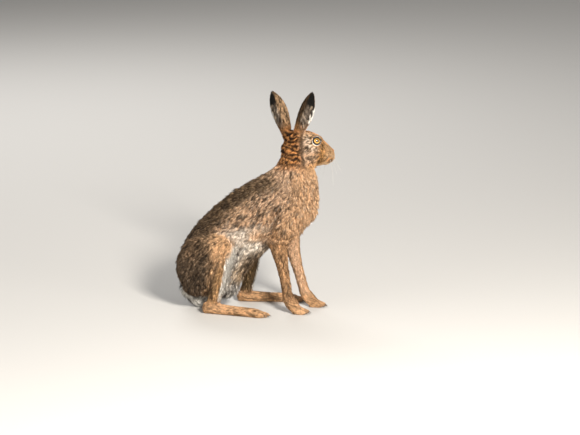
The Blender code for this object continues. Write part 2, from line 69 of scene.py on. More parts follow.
# The bare edge of the lids is a bead on the eyeball: half its width and height, and the bead's radius.
LID_EDGE = (0.845, 0.80)
LID_BEAD = 0.15
WHISKER_RADIUS = 0.022
CLAW_RADIUS = 0.17
NOSE = (10.4, 0.0, -1.5)
# Each nostril's inner and outer end, sideways and up, and the ends of the mouth, forward and up.
NOSTRIL = ((0.20, -1.80), (0.60, -1.25))
MOUTH = ((10.7, -2.95), (8.6, -3.45))
SIDES = {"right": -1.0, "left": 1.0}
EARS = {
    # The two ears' front colours are lit and shaded copies of one colour: the right ear's is painted shade,
    # the left ear's painted light.
    "right": {
        "base": (1.0, -1.15, 2.2), "reach": (3.25, -2.9, 11.2), "open": (0.87, 0.50, 0.0), "rear": -1.0,
        "black_from": -0.1, "front": (0.06, 0.034, 0.015),
    },
    "left": {
        "base": (0.55, 1.5, 1.7), "reach": (-2.6, 3.6, 10.8), "open": (0.42, 0.91, 0.0), "rear": 1.0,
        "black_from": -0.05, "front": (0.53, 0.34, 0.19),
    },
}
EAR_HALF = 1.7
EAR_FUR_TIP = 0.4
# The outline of the back and of the belly in the middle plane, from the neck to the rump: x, z.
BACK_LINE = (
    (7.5, 37.5), (6.8, 34.2), (3.6, 30.7), (0.0, 28.7), (-4.2, 25.9), (-8.7, 22.0),
    (-12.3, 18.2), (-14.8, 13.9), (-15.5, 9.8), (-14.5, 6.3), (-12.4, 3.9),
)
BELLY_LINE = (
    (14.8, 31.6), (15.3, 25.4), (14.9, 22.0), (12.6, 19.1), (8.4, 15.9), (5.0, 14.1),
    (2.3, 11.6), (0.1, 9.0), (-1.7, 6.2), (-3.2, 3.2), (-5.8, 2.2), (-8.8, 2.4),
)
SKIN_VOXEL = 0.0011
SKIN_SMOOTHING = 4
SKIN_KEPT = 0.26
CLUMP_SHARE = 0.11

# The coat of each part: tuft length and width in cm, rise off the skin in degrees, tufts per square cm.
COAT = {
    "torso": (1.2, 0.10, 24.0, 95.0),
    "neck": (1.1, 0.10, 28.0, 95.0),
    "head": (0.60, 0.075, 22.0, 210.0),
    "ear": (0.36, 0.055, 14.0, 190.0),
    "thigh": (1.1, 0.10, 24.0, 95.0),
    "shank": (0.8, 0.10, 20.0, 85.0),
    "hindfoot": (0.5, 0.08, 18.0, 105.0),
    "foreleg": (0.65, 0.09, 18.0, 95.0),
    "forepaw": (0.42, 0.075, 18.0, 120.0),
    "tail": (1.9, 0.13, 30.0, 75.0),
}
PARTS = tuple(COAT)
# Which way the coat lies on each part, for the streaks that run along it.
GRAIN = {
    "torso": (-0.62, 0.0, -0.78), "neck": (-0.2, 0.0, -0.98), "head": (-0.80, 0.0, -0.6),
    "ear": (0.0, 0.0, 1.0), "thigh": (-0.4, 0.0, -0.92), "shank": (0.0, 0.0, -1.0),
    "hindfoot": (1.0, 0.0, 0.0), "foreleg": (0.15, 0.0, -1.0), "forepaw": (1.0, 0.0, -0.3),
    "tail": (0.0, 0.0, -1.0),
}

# Toes as the solids have them: heel or wrist, length to the last ring, splay, reach of each toe, side.
TOE_SPREAD = (-1.15, -0.42, 0.38, 1.08)
FEET = {
    "hindfoot_right": ((-8.9, 5.8), 12.2, 8.0, (1.25, 1.9, 1.75, 1.1), -1.0),
    "hindfoot_left": ((-2.9, 5.8), 12.2, 8.0, (1.25, 1.9, 1.75, 1.1), 1.0),
    "forepaw_right": ((9.0, 3.5), 3.1, 0.0, (0.75, 1.3, 1.2, 0.7), -1.0),
    "forepaw_left": ((11.8, 3.5), 3.1, 0.0, (0.75, 1.3, 1.2, 0.7), 1.0),
}
# The upper part of each foreleg, which the trunk's solid holds, and each knee's x. The front edge of a shank
# is given as heights and how far forward of the knee's x it is at each.
FOREARM = {
    "right": ((6.6, -4.3, 17.4), (7.4, -4.0, 12.8)),
    "left": ((8.1, 4.3, 17.6), (9.1, 3.9, 12.6)),
}
KNEE = {"right": -5.1, "left": -0.4}
SHANK_FRONT = ((1.9, 4.2, 8.0, 12.0, 15.2), (-1.3, -0.15, 0.85, 1.8, 2.5))

# Colours of the coat, as reflectances.
BLACK = (0.006, 0.005, 0.004)
SOOT = (0.040, 0.024, 0.014)
UNDERFUR = (0.26, 0.20, 0.15)
SPINE = (0.32, 0.205, 0.11)
BUFF = (0.55, 0.35, 0.215)
SHOULDER = (0.66, 0.435, 0.28)
CREAM = (0.86, 0.74, 0.60)
WHITE = (0.88, 0.84, 0.77)
# The haunch's grey-brown, darkened further as painted shade.
HAUNCH_SHADED = (0.175, 0.118, 0.074)
OCHRE = (0.68, 0.42, 0.23)
CHEST = (0.67, 0.415, 0.235)
RUST = (0.80, 0.35, 0.11)
SHANK = (0.40, 0.225, 0.105)
TAN = (0.56, 0.34, 0.165)
FORELEG = (0.56, 0.325, 0.165)
CHEEK = (0.80, 0.54, 0.35)
FACE = (0.31, 0.158, 0.052)
MUZZLE = (0.37, 0.235, 0.125)
EAR_REAR = (0.17, 0.135, 0.105)
EAR_INSIDE = (0.50, 0.34, 0.25)
# Dark bare skin, also painted as shade into the grooves between the toes.
LID_DARK = (0.02, 0.014, 0.011)
BAR = (0.022, 0.012, 0.007)
FLANK = (0.84, 0.77, 0.68)
FLANK_STREAK = (0.38, 0.27, 0.17)
BELLY = (0.48, 0.35, 0.23)
# Painted shade under the front of the belly.
BELLY_FRONT_SHADE = (0.20, 0.13, 0.075)
# The white fur between the hind legs, painted grey as shade.
GROIN_SHADED = (0.52, 0.48, 0.43)
# Painted shade in the crease behind the foreleg.
CREASE_SHADE = (0.20, 0.105, 0.05)
ELBOW = (0.44, 0.25, 0.125)
BROW = (0.68, 0.46, 0.28)
LIP = (0.66, 0.44, 0.25)
WHISKER_PAD = (0.40, 0.185, 0.055)
THROAT_SIDE = (0.58, 0.33, 0.15)
AROUND_EYE = (0.36, 0.20, 0.085)
EAR_FLECK = (0.66, 0.50, 0.34)
# The upper thigh painted lighter: painted light over the thigh's brown.
THIGH_TOP_LIT = (0.25, 0.155, 0.088)
# A painted highlight along the top edge of the thigh.
THIGH_RIM_HIGHLIGHT = (0.42, 0.265, 0.145)
# Painted shade on the inner side of the far hind leg.
INNER_LEG_SHADE = (0.16, 0.10, 0.045)
INNER_ARM = (0.74, 0.49, 0.31)


def head_axes():
    """The head's forward, left and up axes as the rows of a matrix."""
    c, s = math.cos(HEAD_TURN), math.sin(HEAD_TURN)
    return np.array(((c, s, 0.0), (-s, c, 0.0), (0.0, 0.0, 1.0)))


def head_point(place):
    return HEAD_PIVOT + np.array(place, float) @ head_axes()


def eye_middle(sign, lowered=EYE_LOWERED):
    """The middle of an eyeball, set a little lower in its socket than in the solids."""
    return head_point((EYE_PLACE[0], EYE_PLACE[1] * sign, EYE_PLACE[2] - lowered))


def model_shift():
    """What carries a point of the design frame to the model's frame, in cm, read off the right eye."""
    low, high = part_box("eye_right")
    return np.array((low + high) / 2) / CM - eye_middle(-1.0, 0.0)


def unit(v):
    v = np.asarray(v, float)
    return v / np.maximum(np.linalg.norm(v, axis=-1, keepdims=True), 1e-9)


def step(x, low, high):
    """0 below low, 1 above high, smooth between. low may be the larger, which turns it round."""
    t = np.clip((x - low) / (high - low), 0.0, 1.0)
    return t * t * (3 - 2 * t)


def mix(a, b, t):
    t = np.asarray(t)[..., None] if np.ndim(t) else t
    return np.asarray(a) * (1 - t) + np.asarray(b) * t


def noise(points, size, seed):
    """Smooth noise between -1 and 1 with features of a given size in cm."""
    p = points / size + 100.0
    cell = np.floor(p).astype(np.int64)
    f = p - cell
    f = f * f * (3 - 2 * f)
    total = np.zeros(len(points))
    for corner in np.ndindex(2, 2, 2):
        h = np.bitwise_xor.reduce((cell + corner) * (73856093, 19349663, 83492791), axis=1)
        h = (h ^ seed * 2654435761) & 0xFFFFFFFF
        h = (h ^ h >> 15) * 2246822519 & 0xFFFFFFFF
        h = (h ^ h >> 13) * 3266489917 & 0xFFFFFFFF
        value = (h ^ h >> 16 & 0xFFFF) % 65536 / 32768.0 - 1.0
        wx, wy, wz = np.where(corner, f, 1 - f).T
        total += value * wx * wy * wz
    return total


def segment_distance(points, a, b):
    a, b = np.asarray(a, float), np.asarray(b, float)
    t = np.clip(((points - a) @ (b - a)) / ((b - a) @ (b - a)), 0, 1)
    return np.linalg.norm(points - a - t[:, None] * (b - a), axis=1)


def line_distance(points, line):
    """Distance in the side view from points to a chain of x, z points."""
    p = points[:, (0, 2)]
    return np.minimum.reduce([segment_distance(p, a, b) for a, b in zip(line[:-1], line[1:])])


def ear_frame(side):
    """An ear's base, length, and its lengthwise, opening and crosswise axes, in the design frame."""
    spec = EARS[side]
    base = head_point(spec["base"])
    reach = np.array(spec["reach"]) @ head_axes()
    way = unit(reach)
    opening = np.array(spec["open"]) @ head_axes()
    opening = unit(opening - way * (opening @ way))
    return base, np.linalg.norm(reach), way, opening, np.cross(way, opening)


def eye_frame(sign):
    """An eye's look direction and the long and short axes of its opening."""
    look = unit(np.array((EYE_LOOK[0], EYE_LOOK[1] * sign, EYE_LOOK[2])) @ head_axes())
    along = unit(np.cross((0.0, 0.0, 1.0), look)) * -sign
    rise = unit(np.cross(look, along))
    rise = rise if rise[2] > 0 else -rise
    c, k = math.cos(LID_SLANT), math.sin(LID_SLANT)
    return look, along * c - rise * k, rise * c + along * k


def eye_places(points):
    """Around the nearer eye as it is faced: distance from its axis, and shares of that forward and up."""
    away, ahead, above = np.full(len(points), 9.0), np.zeros(len(points)), np.zeros(len(points))
    for sign in SIDES.values():
        look, along, rise = eye_frame(sign)
        r = points - eye_middle(sign)
        a, b, depth = r @ along, r @ rise, r @ look
        reach = np.hypot(a, b * LID_EDGE[0] / LID_EDGE[1])
        here = (depth > -0.2) & (depth < 2.0) & (reach < away)
        away = np.where(here, reach, away)
        ahead = np.where(here, a, ahead)
        above = np.where(here, b, above)
    return away, ahead / np.maximum(away, 0.1), above / np.maximum(away, 0.1)


def toe_gaps(points):
    """1 in the grooves between the toes, 0 away from them, and how far each point is along the toes."""
    deep, toward = np.zeros(len(points)), np.full(len(points), -9.0)
    for (x0, y0), reach, splay, _, sign in FEET.values():
        out = math.radians(splay)
        r = points[:, :2] - (x0, y0 * sign)
        along = r @ (math.cos(out), math.sin(out) * sign) - reach
        across = r @ (-math.sin(out), math.cos(out) * sign)
        here = step(np.abs(across), 2.3, 2.1) * (along > -2.5) * (along < 3.0) * (points[:, 2] < 2.6)
        for low, high in zip(TOE_SPREAD[:-1], TOE_SPREAD[1:]):
            gap = np.exp(-(((across - (low + high) / 2) / 0.15) ** 2)) * step(along, -1.0, 0.0)
            deep = np.maximum(deep, gap * here)
        toward = np.where(here > 0, along, toward)
    return deep, toward


def limited(tone):
    """Colours kept under the brightest that a coat can be, with their hue unchanged."""
    brightest = tone.max(axis=1, keepdims=True)
    return np.clip(tone / np.maximum(brightest / 0.88, 1.0), 0.002, 0.9)


class Surface:
    """Points of the skin in the design frame: normals, part weights and places on the head and feet."""

    def __init__(self, points, normals, weights):
        self.p = points
        self.n = normals
        self.w = weights
        self.head = (points - HEAD_PIVOT) @ head_axes().T
        self.back, belly = line_distance(points, BACK_LINE), line_distance(points, BELLY_LINE)
        self.down = self.back / np.maximum(self.back + belly, 1e-6)
        from_eyes = [np.linalg.norm(points - eye_middle(sign), axis=1) for sign in SIDES.values()]
        self.eye = np.minimum(*from_eyes)
        self.from_axis, self.eye_ahead, self.eye_above = eye_places(points)
        f, l, u = self.head.T
        front = np.stack([np.abs(l), u], axis=1)
        behind = 9.0 * (f < 9.2)
        self.nostril = segment_distance(front, NOSTRIL[0], NOSTRIL[1]) + behind
        split = segment_distance(front, (0.0, -1.9), (0.0, MOUTH[0][1])) + behind
        self.mouth = np.minimum(segment_distance(np.stack([f, u], axis=1), MOUTH[0], MOUTH[1]), split)
        self.toe_gap, self.toward_toes = toe_gaps(points)
        x, y, z = points.T
        self.from_knee = x - np.where(y < 0, KNEE["right"], KNEE["left"])
        self.past_shank = self.from_knee - np.interp(z, *SHANK_FRONT)
        outside = step(np.abs(y), 3.6, 4.8) * step(z, 15.5, 13.0) * weights["torso"]
        self.beside_shank = step(np.abs(self.past_shank - 0.5), 2.0, 1.1) * outside
        nearer = {}
        for side in EARS:
            base, length, way, _, _ = ear_frame(side)
            nearer[side] = segment_distance(points, base, base + way * length)
        right = step(nearer["right"] - nearer["left"], 0.5, -0.5)
        self.near_ear = {"right": right, "left": 1 - right}
        squeezed = np.zeros_like(points)
        for part, weight in weights.items():
            grain = unit(GRAIN[part])
            squeezed += weight[:, None] * (points - 0.76 * (points @ grain)[:, None] * grain)
        self.squeezed = squeezed

    def ear(self, side):
        """Share of the length, place across toward the rear edge, and how much it faces into the cup."""
        base, length, way, opening, across = ear_frame(side)
        r = self.p - base
        along = r @ way / length
        rear = r @ across * EARS[side]["rear"] / EAR_HALF
        return along, rear, self.n @ opening

    def strands(self, width, seed):
        """Noise drawn out along the coat."""
        return noise(self.squeezed, width, seed)


def lie(s):
    """The way the coat lies at each point, before it is laid on the surface."""
    x, _, z = s.p.T
    spine = mix((-0.66, 0.0, -0.75), (-0.35, 0.0, -0.94), step(x, -6.0, -15.0))
    front = mix(spine, (-0.10, 0.0, -1.0), step(s.down, 0.45, 0.85) * step(z, 16.0, 21.0))
    belly = mix(front, (-0.72, 0.0, -0.62), step(s.down, 0.6, 0.9) * step(z, 19.0, 14.0))
    droop = np.stack([np.zeros(len(z)), np.zeros(len(z)), -step(s.head[:, 0], 6.0, -1.0)], axis=1)
    ways = {
        "torso": mix(belly, (0.05, 0.0, -1.0), s.beside_shank),
        "neck": mix((-0.30, 0.0, -0.95), (-0.05, 0.0, -1.0), step(s.down, 0.3, 0.7)),
        "head": unit(unit(s.p - head_point(NOSE)) + 0.9 * droop),
        "thigh": mix((-0.62, 0.0, -0.78), (0.05, 0.0, -1.0), step(z, 12.0, 4.0)),
        "shank": np.array((-0.12, 0.0, -1.0)),
        "foreleg": np.array((0.12, 0.0, -1.0)),
        "hindfoot": np.array((1.0, 0.0, -0.25)),
        "forepaw": np.array((1.0, 0.0, -0.25)),
        "tail": mix((-0.25, 0.0, -1.0), (1.0, 0.0, -0.2), step(z, 4.5, 1.5)),
    }
    way = sum(s.w[part][:, None] * toward for part, toward in ways.items())
    for side in EARS:
        way += (s.w["ear"] * s.near_ear[side])[:, None] * ear_frame(side)[2]
    return unit(way)


def plain(colour, dark, count):
    """One coat tone, a colour and the share of dark hairs in it, for a number of points."""
    return np.tile(colour, (count, 1)), np.full(count, dark)


def paint(tone, *layers):
    """Lays colours over a coat tone. A layer is a colour, its share of dark hairs and how much it covers."""
    base, dark = tone
    for colour, share, amount in layers:
        base, dark = mix(base, colour, amount), dark * (1 - amount) + share * amount
    return base, dark


def torso_tone(s, clump, broad, fine):
    x, y, z = s.p.T
    spine = step(s.back + 0.9 * broad, 5.6, 1.4)
    flank = step(z - 0.15 * (x + 5.0) - 19.0 + 0.8 * clump, 1.5, -1.6) * step(s.down, 0.22, 0.38)
    flank = flank * step(x, 8.0, 5.8) * step(x, -12.0, -9.5)
    streaks = step(s.strands(0.17, 61) + 0.3 * fine, 0.15, 0.45)
    groin = step(z + 0.6 * clump, 9.0, 6.0) * step(x, -12.5, -10.0) * step(x, -1.6, -3.2)
    # Painted shade along the crease where the foreleg meets the body.
    crease_shade = np.hypot(x - 6.9 - 0.15 * (z - 21.0), np.clip(np.abs(z - 21.0) - 3.0, 0, None))
    crease_shade = step(crease_shade + 0.25 * clump, 1.25, 0.3) * step(np.abs(y), 2.0, 3.2)
    elbow = step(np.hypot(x - 8.0, z - 17.8) + 0.4 * clump, 3.4, 1.2) * step(np.abs(y), 2.2, 3.4)
    # Painted shade in the gap between the torso and the front of the shank.
    gap = step(np.abs(s.past_shank - 0.35) + 0.15 * clump, 0.95, 0.45) * s.beside_shank
    return paint(
        plain(BUFF, 0.30, len(x)),
        (SHOULDER, 0.16, step(z + 0.8 * broad, 23.5, 28.5)),
        (SPINE, 0.95, spine * (1 - 0.55 * step(z, 27.0, 32.0))),
        # The rump's grey-brown, darkened further as painted shade.
        (HAUNCH_SHADED, 0.62, 0.8 * step(x + broad, -5.0, -11.0)),
        (FLANK, 0.05, 0.95 * flank),
        (FLANK_STREAK, 0.2, 0.55 * flank * streaks),
        (CHEST, 0.08, step(s.down + 0.07 * broad, 0.48, 0.76) * step(z, 15.5, 18.5)),
        (BELLY, 0.3, step(s.down + 0.05 * clump, 0.70, 0.90) * step(z, 17.0, 12.0)),
        # White fur between the hind legs, painted grey as shade.
        (GROIN_SHADED, 0.22, groin),
        # Painted shade in the crease behind the foreleg.
        (CREASE_SHADE, 0.6, 0.8 * crease_shade),
        (ELBOW, 0.3, 0.7 * elbow),
        # Painted shade under the front of the belly.
        (BELLY_FRONT_SHADE, 0.45, 0.85 * step(s.down, 0.78, 0.93) * step(x, -2.2, 0.3) * step(z, 16.0, 12.0)),
        # Painted shade in the gap beside the shank.
        (SOOT, 0.4, 0.9 * gap),
    )


def head_tone(s, clump, broad):
    f, l, u = s.head.T
    cheek = step(f + 0.7 * clump + 0.5 * broad - 0.35 * u, 7.2, 3.6) * step(u, 2.6, 1.8)
    stripe = step(np.abs(l), 1.4, 0.5) * step(u, -0.2, 0.8) * step(f, 9.9, 8.6)
    jaw = step(u + 0.25 * clump, -3.1, -3.9) * step(f, 3.0, 5.5)
    lips = step(f, 9.5, 10.2) * step(u, -1.9, -2.4)
    pad = step(np.hypot(f - 8.9, 1.2 * (u + 2.9)) + 0.15 * clump, 1.05, 0.5) * step(np.abs(l), 0.3, 0.7)
    streaked = step(f, 2.0, 3.0) * step(f + 0.5 * u, 6.2, 4.8) * step(u, -1.2, 0.2) * step(u, 3.4, 2.6)
    light = step(clump + 0.5 * s.strands(0.13, 41), -0.1, 0.4)
    outer = 1.08 + 0.06 * step(-s.eye_above, 0.0, 0.8)
    ring = step(s.from_axis + 0.04 * clump, outer + 0.06, outer - 0.05)
    behind = step(s.eye_above, -0.1, 0.4) * step(-s.eye_ahead, 0.1, 0.6)
    return paint(
        plain(FACE, 0.26, len(f)),
        (MUZZLE, 0.04, step(f, 6.6, 8.6)),
        (CHEEK, 0.30, cheek),
        (BROW, 0.16, step(u, 1.9, 3.0)),
        (RUST, 0.30, 0.6 * stripe),
        (RUST, 0.35, 0.55 * step(f, 9.7, 10.2) * step(u, -1.7, -1.2)),
        (LIP, 0.03, 0.8 * jaw),
        (LIP, 0.02, 0.7 * lips),
        (WHISKER_PAD, 0.35, 0.75 * pad),
        (CREAM, 0.0, 0.7 * streaked * light),
        (SOOT, 0.5, 0.6 * streaked * (1 - light)),
        (THROAT_SIDE, 0.14, step(u + 0.3 * broad, -2.0, -3.6) * step(f, 6.5, 3.5)),
        (AROUND_EYE, 0.3, 0.7 * step(s.from_axis, 1.75, 1.30)),
        (WHITE, 0.0, ring * (1 - 0.75 * behind)),
        (RUST, 0.34, step(f + 0.4 * broad + 0.4 * clump, 2.6, 0.4)),
    )


def ear_tone(s, clump):
    n = len(s.p)
    colour, dark = np.zeros((n, 3)), np.zeros(n)
    mottled = s.strands(0.22, 71)
    for name, weight in s.near_ear.items():
        along, rear, inside = s.ear(name)
        light = step(mottled, -0.25, -0.5) * step(along, 0.25, 0.5) * step(rear, -0.3, 0.5)
        low = step(along + 0.08 * clump, 0.42, 0.18)
        cup = step(inside, -0.1, 0.25)
        edge = EARS[name]["black_from"]
        patch = step(along + 0.03 * clump, 0.69, 0.74) * step(rear + 0.12 * clump, edge - 0.14, edge + 0.1)
        tip = np.maximum(patch, step(along, 0.92, 0.96)) * (1 - 0.9 * cup * step(along, 0.97, 0.9))
        tone = paint(
            # The front colour carries painted shade on the right ear and painted light on the left.
            plain(EARS[name]["front"], 0.5, n),
            (EAR_REAR, 0.42, step(rear + 0.15 * clump, -0.15, 0.25)),
            (SHANK, 0.45, step(along, 0.30, 0.12) * 0.7),
            (SOOT, 0.2, 0.7 * step(mottled, 0.15, 0.45)),
            (EAR_FLECK, 0.0, 0.45 * light),
            (RUST, 0.4, 0.35 * low),
            (SOOT, 0.3, low * step(mottled + clump, -0.5, 0.2)),
            (EAR_INSIDE, 0.05, 0.85 * cup),
            (WHITE, 0.0, 0.85 * step(rear + 0.1 * clump, 0.88, 0.97) * step(along, 0.05, 0.2)),
            (BLACK, 0.0, tip),
        )
        colour += weight[:, None] * tone[0]
        dark += weight * tone[1]
    return colour, dark


def leg_tones(s, clump, broad):
    _, y, z = s.p.T
    n = len(y)
    inner = step(-s.n[:, 1] * np.sign(y), 0.25, 0.65)
    forward = s.n[:, 0]
    # rim: where the painted highlight runs along the top edge of the thigh.
    rim = step(z + 0.5 * s.from_knee + 0.5 * broad, 12.6, 14.6) * step(s.from_knee + broad, -7.5, -4.5)
    # Painted shade in the fold where the shank meets the thigh and the torso.
    fold_shade = np.clip(5.0 * s.w["shank"] * (s.w["thigh"] + s.w["torso"]), 0, 1) * step(z, 15.0, 12.0)
    strip = step(forward + 0.06 * clump, 0.36, 0.54) * (1 - inner * (y > 0))
    line = step(np.abs(s.from_knee + 2.4 + 0.12 * broad), 0.32, 0.10) * step(z, 11.0, 9.5)
    line = line * step(z, 3.0, 4.0)
    # Painted shade on the inner side of the far (left) hind leg.
    far_inside_shade = (INNER_LEG_SHADE, 0.4, step(inner, 0.0, 0.4) * (y > 0))
    tendon = (SOOT, 0.5, 0.75 * line * (1 - inner))
    thigh = paint(
        # The thigh's grey-brown, darkened further as painted shade.
        plain(HAUNCH_SHADED, 0.62, n),
        # Painted light on the upper thigh.
        (THIGH_TOP_LIT, 0.62, 0.8 * step(z + 0.9 * broad, 11.5, 15.5)),
        # Painted highlight along the top edge of the thigh.
        (THIGH_RIM_HIGHLIGHT, 0.6, 0.3 * rim),
        far_inside_shade,
        (OCHRE, 0.10, step(s.past_shank + 0.5 * broad + 0.3 * clump, -5.4, -3.1)),
        tendon,
    )
    shank = paint(
        plain(TAN, 0.15, n),
        (OCHRE, 0.1, step(z, 9.0, 14.0)),
        far_inside_shade,
        (WHITE, 0.0, strip),
        # Painted shade in the fold, on the side turned back.
        (SOOT, 0.5, 0.75 * fold_shade * step(forward, 0.1, -0.25)),
        tendon,
    )
    foot = paint(plain(SHANK, 0.28, n), (OCHRE, 0.1, 0.5 + 0.4 * broad))
    # The foreleg darker on its rear side: painted shade.
    rearward = 0.6 * step(-forward + 0.2 * clump, 0.3, 0.8)
    arm = paint(plain(FORELEG, 0.22, n), (INNER_ARM, 0.0, inner), (SHANK, 0.6, rearward))
    return {"thigh": thigh, "shank": shank, "hindfoot": foot, "foreleg": arm, "forepaw": foot}


def markings(s):
    """Colour of the coat's root, middle and tip at each point, as three arrays."""
    fine = s.strands(0.15, 3)
    clump = s.strands(0.29, 5)
    broad = noise(s.p, 2.4, 9)
    z = s.p[:, 2]
    rows = np.sin(2 * math.pi * (z + 0.22 * s.p[:, 0] + 0.5 * noise(s.p, 1.0, 12)) / 0.9)

    tones = leg_tones(s, clump, broad)
    tones["torso"] = torso_tone(s, clump, broad, fine)
    nape = step(s.down + 0.06 * broad, 0.60, 0.40) * step(z + 0.5 * broad, 31.8, 34.2)
    shoulder = (SHOULDER, 0.2, step(s.down, 0.6, 0.4))
    tones["neck"] = paint(plain(CHEST, 0.08, len(z)), shoulder, (RUST, 0.34, nape))
    tones["head"] = head_tone(s, clump, broad)
    tones["ear"] = ear_tone(s, clump)
    rearward = step(-s.n[:, 0] + 0.15 * clump, 0.35, 0.75) * step(np.abs(s.p[:, 1]), 1.5, 0.9)
    tones["tail"] = paint(plain(WHITE, 0.0, len(z)), (BLACK, 0.0, rearward))
    colour = sum(s.w[part][:, None] * tones[part][0] for part in PARTS)
    dark = sum(s.w[part] * tones[part][1] for part in PARTS)

    behind_head = s.w["head"] * step(s.head[:, 0], 1.9, 0.7) + s.w["neck"] * nape
    ruffle = 0.55 * (s.w["neck"] + s.w["torso"] * step(z, 21.0, 26.0) * step(s.down, 0.35, 0.6))
    broken = step(noise(s.p, 0.7, 31), -1.0, -0.5)
    before_ears = s.head[:, 0] + 0.3 * broad
    band = s.w["head"] * step(before_ears, 2.7, 2.0) * step(before_ears, 0.9, 1.6)
    bars = step(rows + 0.35 * fine, -0.55, 0.0) * np.maximum(behind_head * broken, ruffle * 0.4)
    bars = np.maximum(bars, 0.95 * band * step(fine + clump, -0.6, 0.1))
    pale = step(dark, 0.25, 0.0)
    legs = sum(s.w[part] for part in ("shank", "hindfoot", "foreleg", "forepaw"))
    swing = (1.15 - 0.85 * pale) * (1 - 0.35 * legs)
    # Lighter and darker clumps, partly the coat's own uneven tone and partly painted light and shade, with
    # painted shade in the gaps between clumps.
    light = np.exp(swing * clump + 0.8 * swing * fine)
    light = light * (1 - 0.45 * (1 - pale) * (1 - 0.7 * legs) * step(clump + 0.6 * fine, 0.05, -0.45))
    flecks = step(0.9 * clump + 0.6 * fine + 0.45 * (dark - 0.5), 0.02, 0.30)
    ticks = step(0.5 * clump + noise(s.p, 0.12, 17), -0.1, 0.3)
    middle = colour * light[:, None]
    middle = mix(middle, SOOT, np.clip(dark * flecks, 0, 1) * 0.92)
    middle = mix(middle, BAR, np.clip(bars, 0, 1) * 0.96)
    tip = mix(middle * 1.15, SOOT, np.clip(dark, 0, 1) * ticks * 0.8)
    # Pale hair tips on the shoulders and neck, partly the coat's own pale tips and partly painted highlight.
    pale_tips_and_glints = step(s.strands(0.17, 51) + 0.4 * fine, 0.15, 0.55) * step(z, 17.0, 22.0)
    pale_tips_and_glints = pale_tips_and_glints * (s.w["torso"] + s.w["neck"])
    tip = mix(tip, CREAM, 0.65 * pale_tips_and_glints * (1 - nape * s.w["neck"]) * step(s.back, 2.0, 4.0))
    root = mix(middle * (0.55 + 0.4 * pale)[:, None], UNDERFUR, 0.12 * (1 - s.w["ear"]) * (1 - pale))
    bare = s.w["head"] * np.maximum.reduce([
        step(s.from_axis, 1.00, 0.94), step(s.nostril, 0.22, 0.12), 0.7 * step(s.mouth, 0.15, 0.06)
    ])
    # Bare dark skin at the lids, nostrils and mouth, and painted shade in the grooves between the toes.
    shade = np.maximum(bare, 0.85 * s.toe_gap)
    return [limited(mix(tone, LID_DARK, shade)) for tone in (root, middle, tip)]


def coat_numbers(s):
    """Tuft length, width, rise and density at each point, in cm, degrees and per square cm."""
    length, width, rise, density = (sum(s.w[part] * COAT[part][k] for part in PARTS) for k in range(4))
    f, _, u = s.head.T
    on_head = s.w["head"]
    length = length * (1 - 0.42 * on_head * step(f, 1.5, 6.5)) * (1 - 0.4 * on_head * step(f, 7.5, 10.0))
    length = length * (1 - 0.35 * on_head * step(u, -3.0, -4.2))
    length = length * (1 - 0.6 * on_head * step(s.from_axis, 1.9, 1.2))
    openings = np.minimum(s.nostril, s.mouth)
    length = length * (1 - 0.5 * on_head * step(openings, 0.7, 0.25))
    length = length * (1 + 0.3 * s.w["torso"] * step(s.down, 0.6, 0.85))
    length = length * (1 - 0.4 * step(s.toward_toes, -1.5, 0.0)) * (1 - 0.6 * s.beside_shank)
    return length, width, rise, density


def coat_depth(s):
    """How far the skin lies inside the solids, in cm: more under long hair, the belly and the groin."""
    length, _, rise, _ = coat_numbers(s)
    depth = 0.8 * length * np.sin(np.radians(rise))
    bare = s.w["head"] * step(s.eye, 2.2, 1.4)
    belly = 0.25 * s.w["torso"] * step(s.down, 0.75, 0.92) * step(s.p[:, 2], 19.0, 16.0)
    groin = 0.7 * s.w["torso"] * step(np.abs(s.past_shank - 1.0), 3.2, 1.0)
    groin = groin * step(np.abs(s.p[:, 1]), 3.6, 5.0) * step(s.p[:, 2], 16.0, 13.0)
    return depth * (1 - bare) * (1 - 0.9 * s.w["ear"]) + belly + groin


def hollows(s):
    """How far the nostrils, the mouth and the gaps between the toes sink into the skin, in cm."""
    openings = 0.20 * step(s.nostril, 0.22, 0.04) + 0.14 * step(s.mouth, 0.18, 0.03)
    return s.w["head"] * (openings + 0.10 * step(s.from_axis, 1.12, 0.95)) + 0.28 * s.toe_gap


def add_object(name, mesh):
    made = bpy.data.objects.new(name, mesh)
    bpy.context.scene.collection.objects.link(made)
    return made


def add_piece(name, mesh, look):
    mesh.materials.append(look)
    return add_object(name, mesh)


def apply_modifiers(obj):
    graph = bpy.context.evaluated_depsgraph_get()
    mesh = bpy.data.meshes.new_from_object(obj.evaluated_get(graph))
    obj.modifiers.clear()
    obj.data = mesh


def read(items, field, wide=1, kind=float):
    """One field of all of a mesh's points, edges, faces or corners, as an array."""
    out = np.zeros(len(items) * wide, kind)
    items.foreach_get(field, out)
    return out.reshape(-1, wide) if wide > 1 else out


def read_points(mesh):
    return read(mesh.vertices, "co", 3)


def read_normals(mesh):
    return read(mesh.vertex_normals, "vector", 3, np.float32).astype(float)


def edges_of(mesh):
    return read(mesh.edges, "vertices", 2, np.int64)


def blurred(values, edges, passes):
    """Values at the vertices, averaged with their neighbours a number of times."""
    a, b = edges[:, 0], edges[:, 1]
    count = np.bincount(a, minlength=len(values)) + np.bincount(b, minlength=len(values)) + 1.0
    columns = values.reshape(len(values), -1).T
    for _ in range(passes):
        columns = np.array([
            (c + np.bincount(a, c[b], len(c)) + np.bincount(b, c[a], len(c))) / count for c in columns
        ])
    return columns.T.reshape(values.shape)


